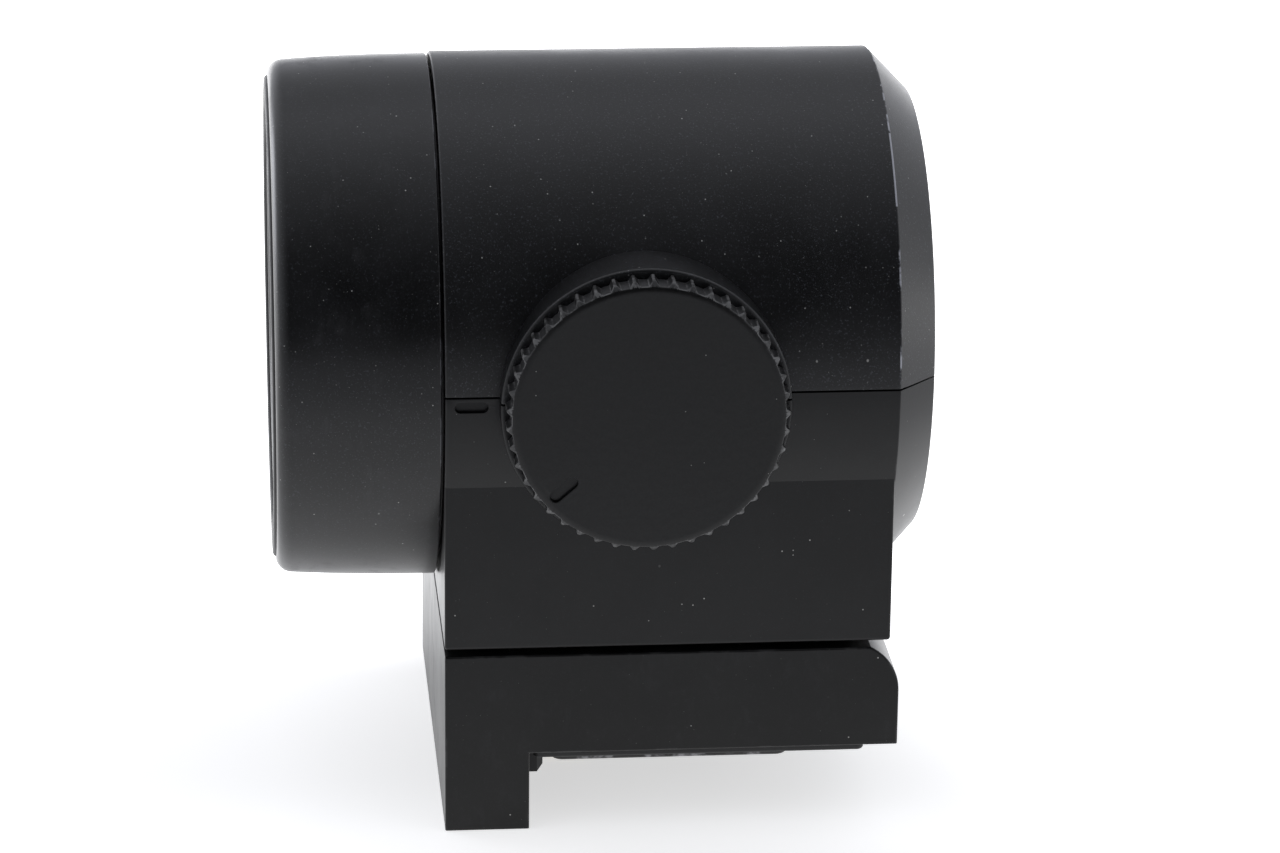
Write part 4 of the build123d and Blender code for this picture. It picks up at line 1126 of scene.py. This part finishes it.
def make_knob():
    """Ridged rim whose ends run into the rounded face; every edge between them is softened."""
    levels = [[(knob_rear, r, a) for r, a in knob_outline(rear_edge)]]
    levels.append([(knob_rear + rear_edge, r, a) for r, a in knob_outline(0.0)])
    for step in range(6):
        lean = pi / 2 * step / 5
        sunk = front_edge * (1 - sin(lean))
        outline = knob_outline(front_edge * (1 - cos(lean)))
        levels.append([(knob_face - face_depth(r) - sunk, r, a) for r, a in outline])
    for step in range(1, 6):
        inward = [(r + (face_r - r) * step / 5, a) for r, a in knob_outline(front_edge)]
        levels.append([(knob_face - face_depth(r), r, a) for r, a in inward])
    bm = bmesh.new()
    loops = [[bm.verts.new(along_dial(*point)) for point in level] for level in levels]
    count = len(loops[0])
    for below, above in zip(loops, loops[1:]):
        for i in range(count):
            j = (i + 1) % count
            bm.faces.new((below[i], below[j], above[j], above[i]))
    bm.faces.new(loops[0])
    bm.faces.new(loops[-1])
    bmesh.ops.recalc_face_normals(bm, faces=bm.faces)
    back = cylinder((dial_x, dial_z), back_r, -knob_rear - back_depth, -knob_rear + 1, across, 96)
    bore = cylinder((dial_x, dial_z), shaft_high.x - dial_x, shaft_low.y, -knob_rear + 1, across)
    turn = radians(dial_mark_angle)
    centre = (dial_x + dial_mark_r * cos(turn), dial_z + dial_mark_r * sin(turn))
    outline = slot_outline(centre, dial_mark_length, dial_mark_width, dial_mark_angle)
    mark = prism(outline, -knob_face - 1, -knob_face + dial_mark_depth, across)
    knob = cut(bm, back, bore, mark)

    def mark_weight(edge):
        ends = ends_of(edge)
        at_face = all(abs(end.y + knob_face) < 1e-3 for end in ends)
        inside = all(hypot(end.x - dial_x, end.z - dial_z) < face_r - 0.01 for end in ends)
        return 1.0 if at_face and inside and face_turn(edge) > SHARP_TURN else 0.0

    # The rim's rounded edges get rubbed wear and a painted highlight
    def rim_highlight_and_rub(centre):
        return 1.0 if hypot(centre.x - dial_x, centre.z - dial_z) > valley_r - front_edge else 0.0

    knob = bevelled(knob, mark_weight, 0.05, 3)
    piece("dial_knob_grip", knob, "dial", materials["knob_plastic"], ["dial_knob"], rim_highlight_and_rub)


# ---- Base: body, pads and foot ----

leg_front, leg_bottom = -9.62, base_low.z
base_bottom = foot_high.z
base_top = base_high.z
base_rear = base_low.x
knuckle_r = base_high.x - pivot_x
side_edge = 0.14
hinge_slots = ((-10.6, -7.4), (-3.1, 3.1), (7.4, 10.6))
slot_rear, slot_low = pivot_x - 2.85, pivot_z - 2.85
buffer_places = ((-12.2, -10.5), (-12.2, 10.5))
buffer_pocket_r, buffer_pocket_depth = 1.4, 0.5
pad_rows = (-13.25, 13.25)
pad_x, pad_half, pad_corner = (-9.35, 11.95), 1.9, 0.45
pad_recess_x, pad_recess_half, pad_recess_corner = (-9.4, 12.0), 1.95, 0.9
pad_sunk = 0.3
foot_screw_places = [(x, y) for x in (-5.0, 5.0) for y in (-3.9, 3.9)]


def base_weight(edge):
    """Full width round the two sides, less on the edges across the part."""
    ends = ends_of(edge)
    if all(abs(abs(end.y) - box_half) < 1e-4 for end in ends) and abs(ends[0].y - ends[1].y) < 1:
        return 1.0
    return 0.55 if face_turn(edge) > 0.6 else 0.0


def slot_weight(edge):
    """Rounds the mouths of the hinge slots and of the buffer pockets."""
    ends = ends_of(edge)
    at_top = all(abs(end.z - base_top) < 1e-3 and abs(end.y) < box_half - 1 for end in ends)
    inner = all(end.x > base_rear + 1 for end in ends)
    return 1.0 if at_top and inner and face_turn(edge) > 0.7 else 0.0


def make_base():
    """L-shaped body with the hinge's slots, its hollow and its recesses, and the two strips under it."""
    top_angle = degrees(asin((base_top - pivot_z) / knuckle_r))
    outline = [(base_high.x, base_bottom)]
    outline += arc((pivot_x, pivot_z), knuckle_r, 0, top_angle, 18)
    outline += [
        (base_rear, base_top),
        (base_rear, leg_bottom),
        (leg_front, leg_bottom),
        (leg_front, base_bottom),
    ]
    body = bevelled(prism(outline, -box_half, box_half, across), base_weight, side_edge, 6)
    deep = base_bottom - 1
    cavity = block((-13.2, 6.0), (-9.4, 9.4), (base_bottom + 0.5, 8.3))
    connector_bay = block((leg_front - 3.58, leg_front + 1), (-7.65, 7.65), (-1.0, 3.4))
    cover_recess = block((leg_front, 7.4), (-11.2, 11.2), (deep, base_bottom + 0.9))
    pad_recesses = []
    for y in pad_rows:
        corners = rectangle(*pad_recess_x, y - pad_recess_half, y + pad_recess_half)
        outline = rounded([(*corner, pad_recess_corner) for corner in corners])
        pad_recesses.append(prism(outline, deep, base_bottom + pad_sunk, upward))
    slots = [block((slot_rear, base_high.x + 1), slot, (slot_low, base_top + 1)) for slot in hinge_slots]
    pocket_z = (base_top - buffer_pocket_depth, base_top + 1)
    pockets = [cylinder(place, buffer_pocket_r, *pocket_z, upward) for place in buffer_places]
    body = cut(body, cavity, connector_bay, cover_recess, joined(*pad_recesses), joined(*slots, *pockets))
    body = bevelled(body, slot_weight, 0.1, 3)
    piece("base_body", body, "base", materials["base_plastic"], ["base_shell"])

    pad_low_z = span("underside_pads")[0].z
    strips = []
    for y in pad_rows:
        corners = rectangle(*pad_x, y - pad_half, y + pad_half)
        outline = rounded([(*corner, pad_corner) for corner in corners], 8)
        strip = prism(outline, pad_low_z, base_bottom + pad_sunk, upward)
        strips.append(bevelled(strip, lambda edge: at_level(edge, pad_low_z), 0.2, 5))
    rubber = materials["pad_rubber"]
    piece("underside_pad_strips", joined(*strips), "base", rubber, ["underside_pads"])


def make_foot():
    """Shoe foot: plate with round corners and a lead-in, neck, countersunk holes and the rear relief."""
    plate_top, plate_corner, plate_edge = 1.9, 0.8, 0.3
    neck_inset, neck_half = 0.3, 6.2
    relief_x, relief_half, relief_top = -4.2, 5.6, 0.2
    screw_r, countersink_r, countersink_depth = 0.85, 1.6, 0.75
    corners = rectangle(foot_low.x, foot_high.x, foot_low.y, foot_high.y)
    outline = rounded([(*corner, plate_corner) for corner in corners], 8)
    plate = prism(outline, foot_low.z, plate_top, upward)

    def plate_weight(edge):
        return at_level(edge, foot_low.z) or 0.4 * at_level(edge, plate_top)

    plate = bevelled(plate, plate_weight, plate_edge, 5)
    neck_x = (foot_low.x + neck_inset, foot_high.x - neck_inset)
    neck = block(neck_x, (-neck_half, neck_half), (plate_top - 0.5, foot_high.z))
    foot = boolean(plate, neck, "UNION")
    holes = []
    for x, y in foot_screw_places:
        cone = lathe(
            [
                (-1, 0),
                (-1, countersink_r),
                (0, countersink_r),
                (countersink_depth, screw_r),
                (4, screw_r),
                (4, 0),
            ],
            lambda along, out, angle, x=x, y=y: (x + out * cos(angle), y + out * sin(angle), along),
            48,
        )
        holes.append(cone)
    relief = block((foot_low.x - 1, relief_x), (-relief_half, relief_half), (-1, relief_top))
    foot = cut(foot, joined(*holes), relief)
    piece("shoe_foot_plate", foot, "base", materials["foot_metal"], ["shoe_foot"])


make_shells()
make_eyepiece()
make_front_plate()
make_knob()
make_base()
make_foot()
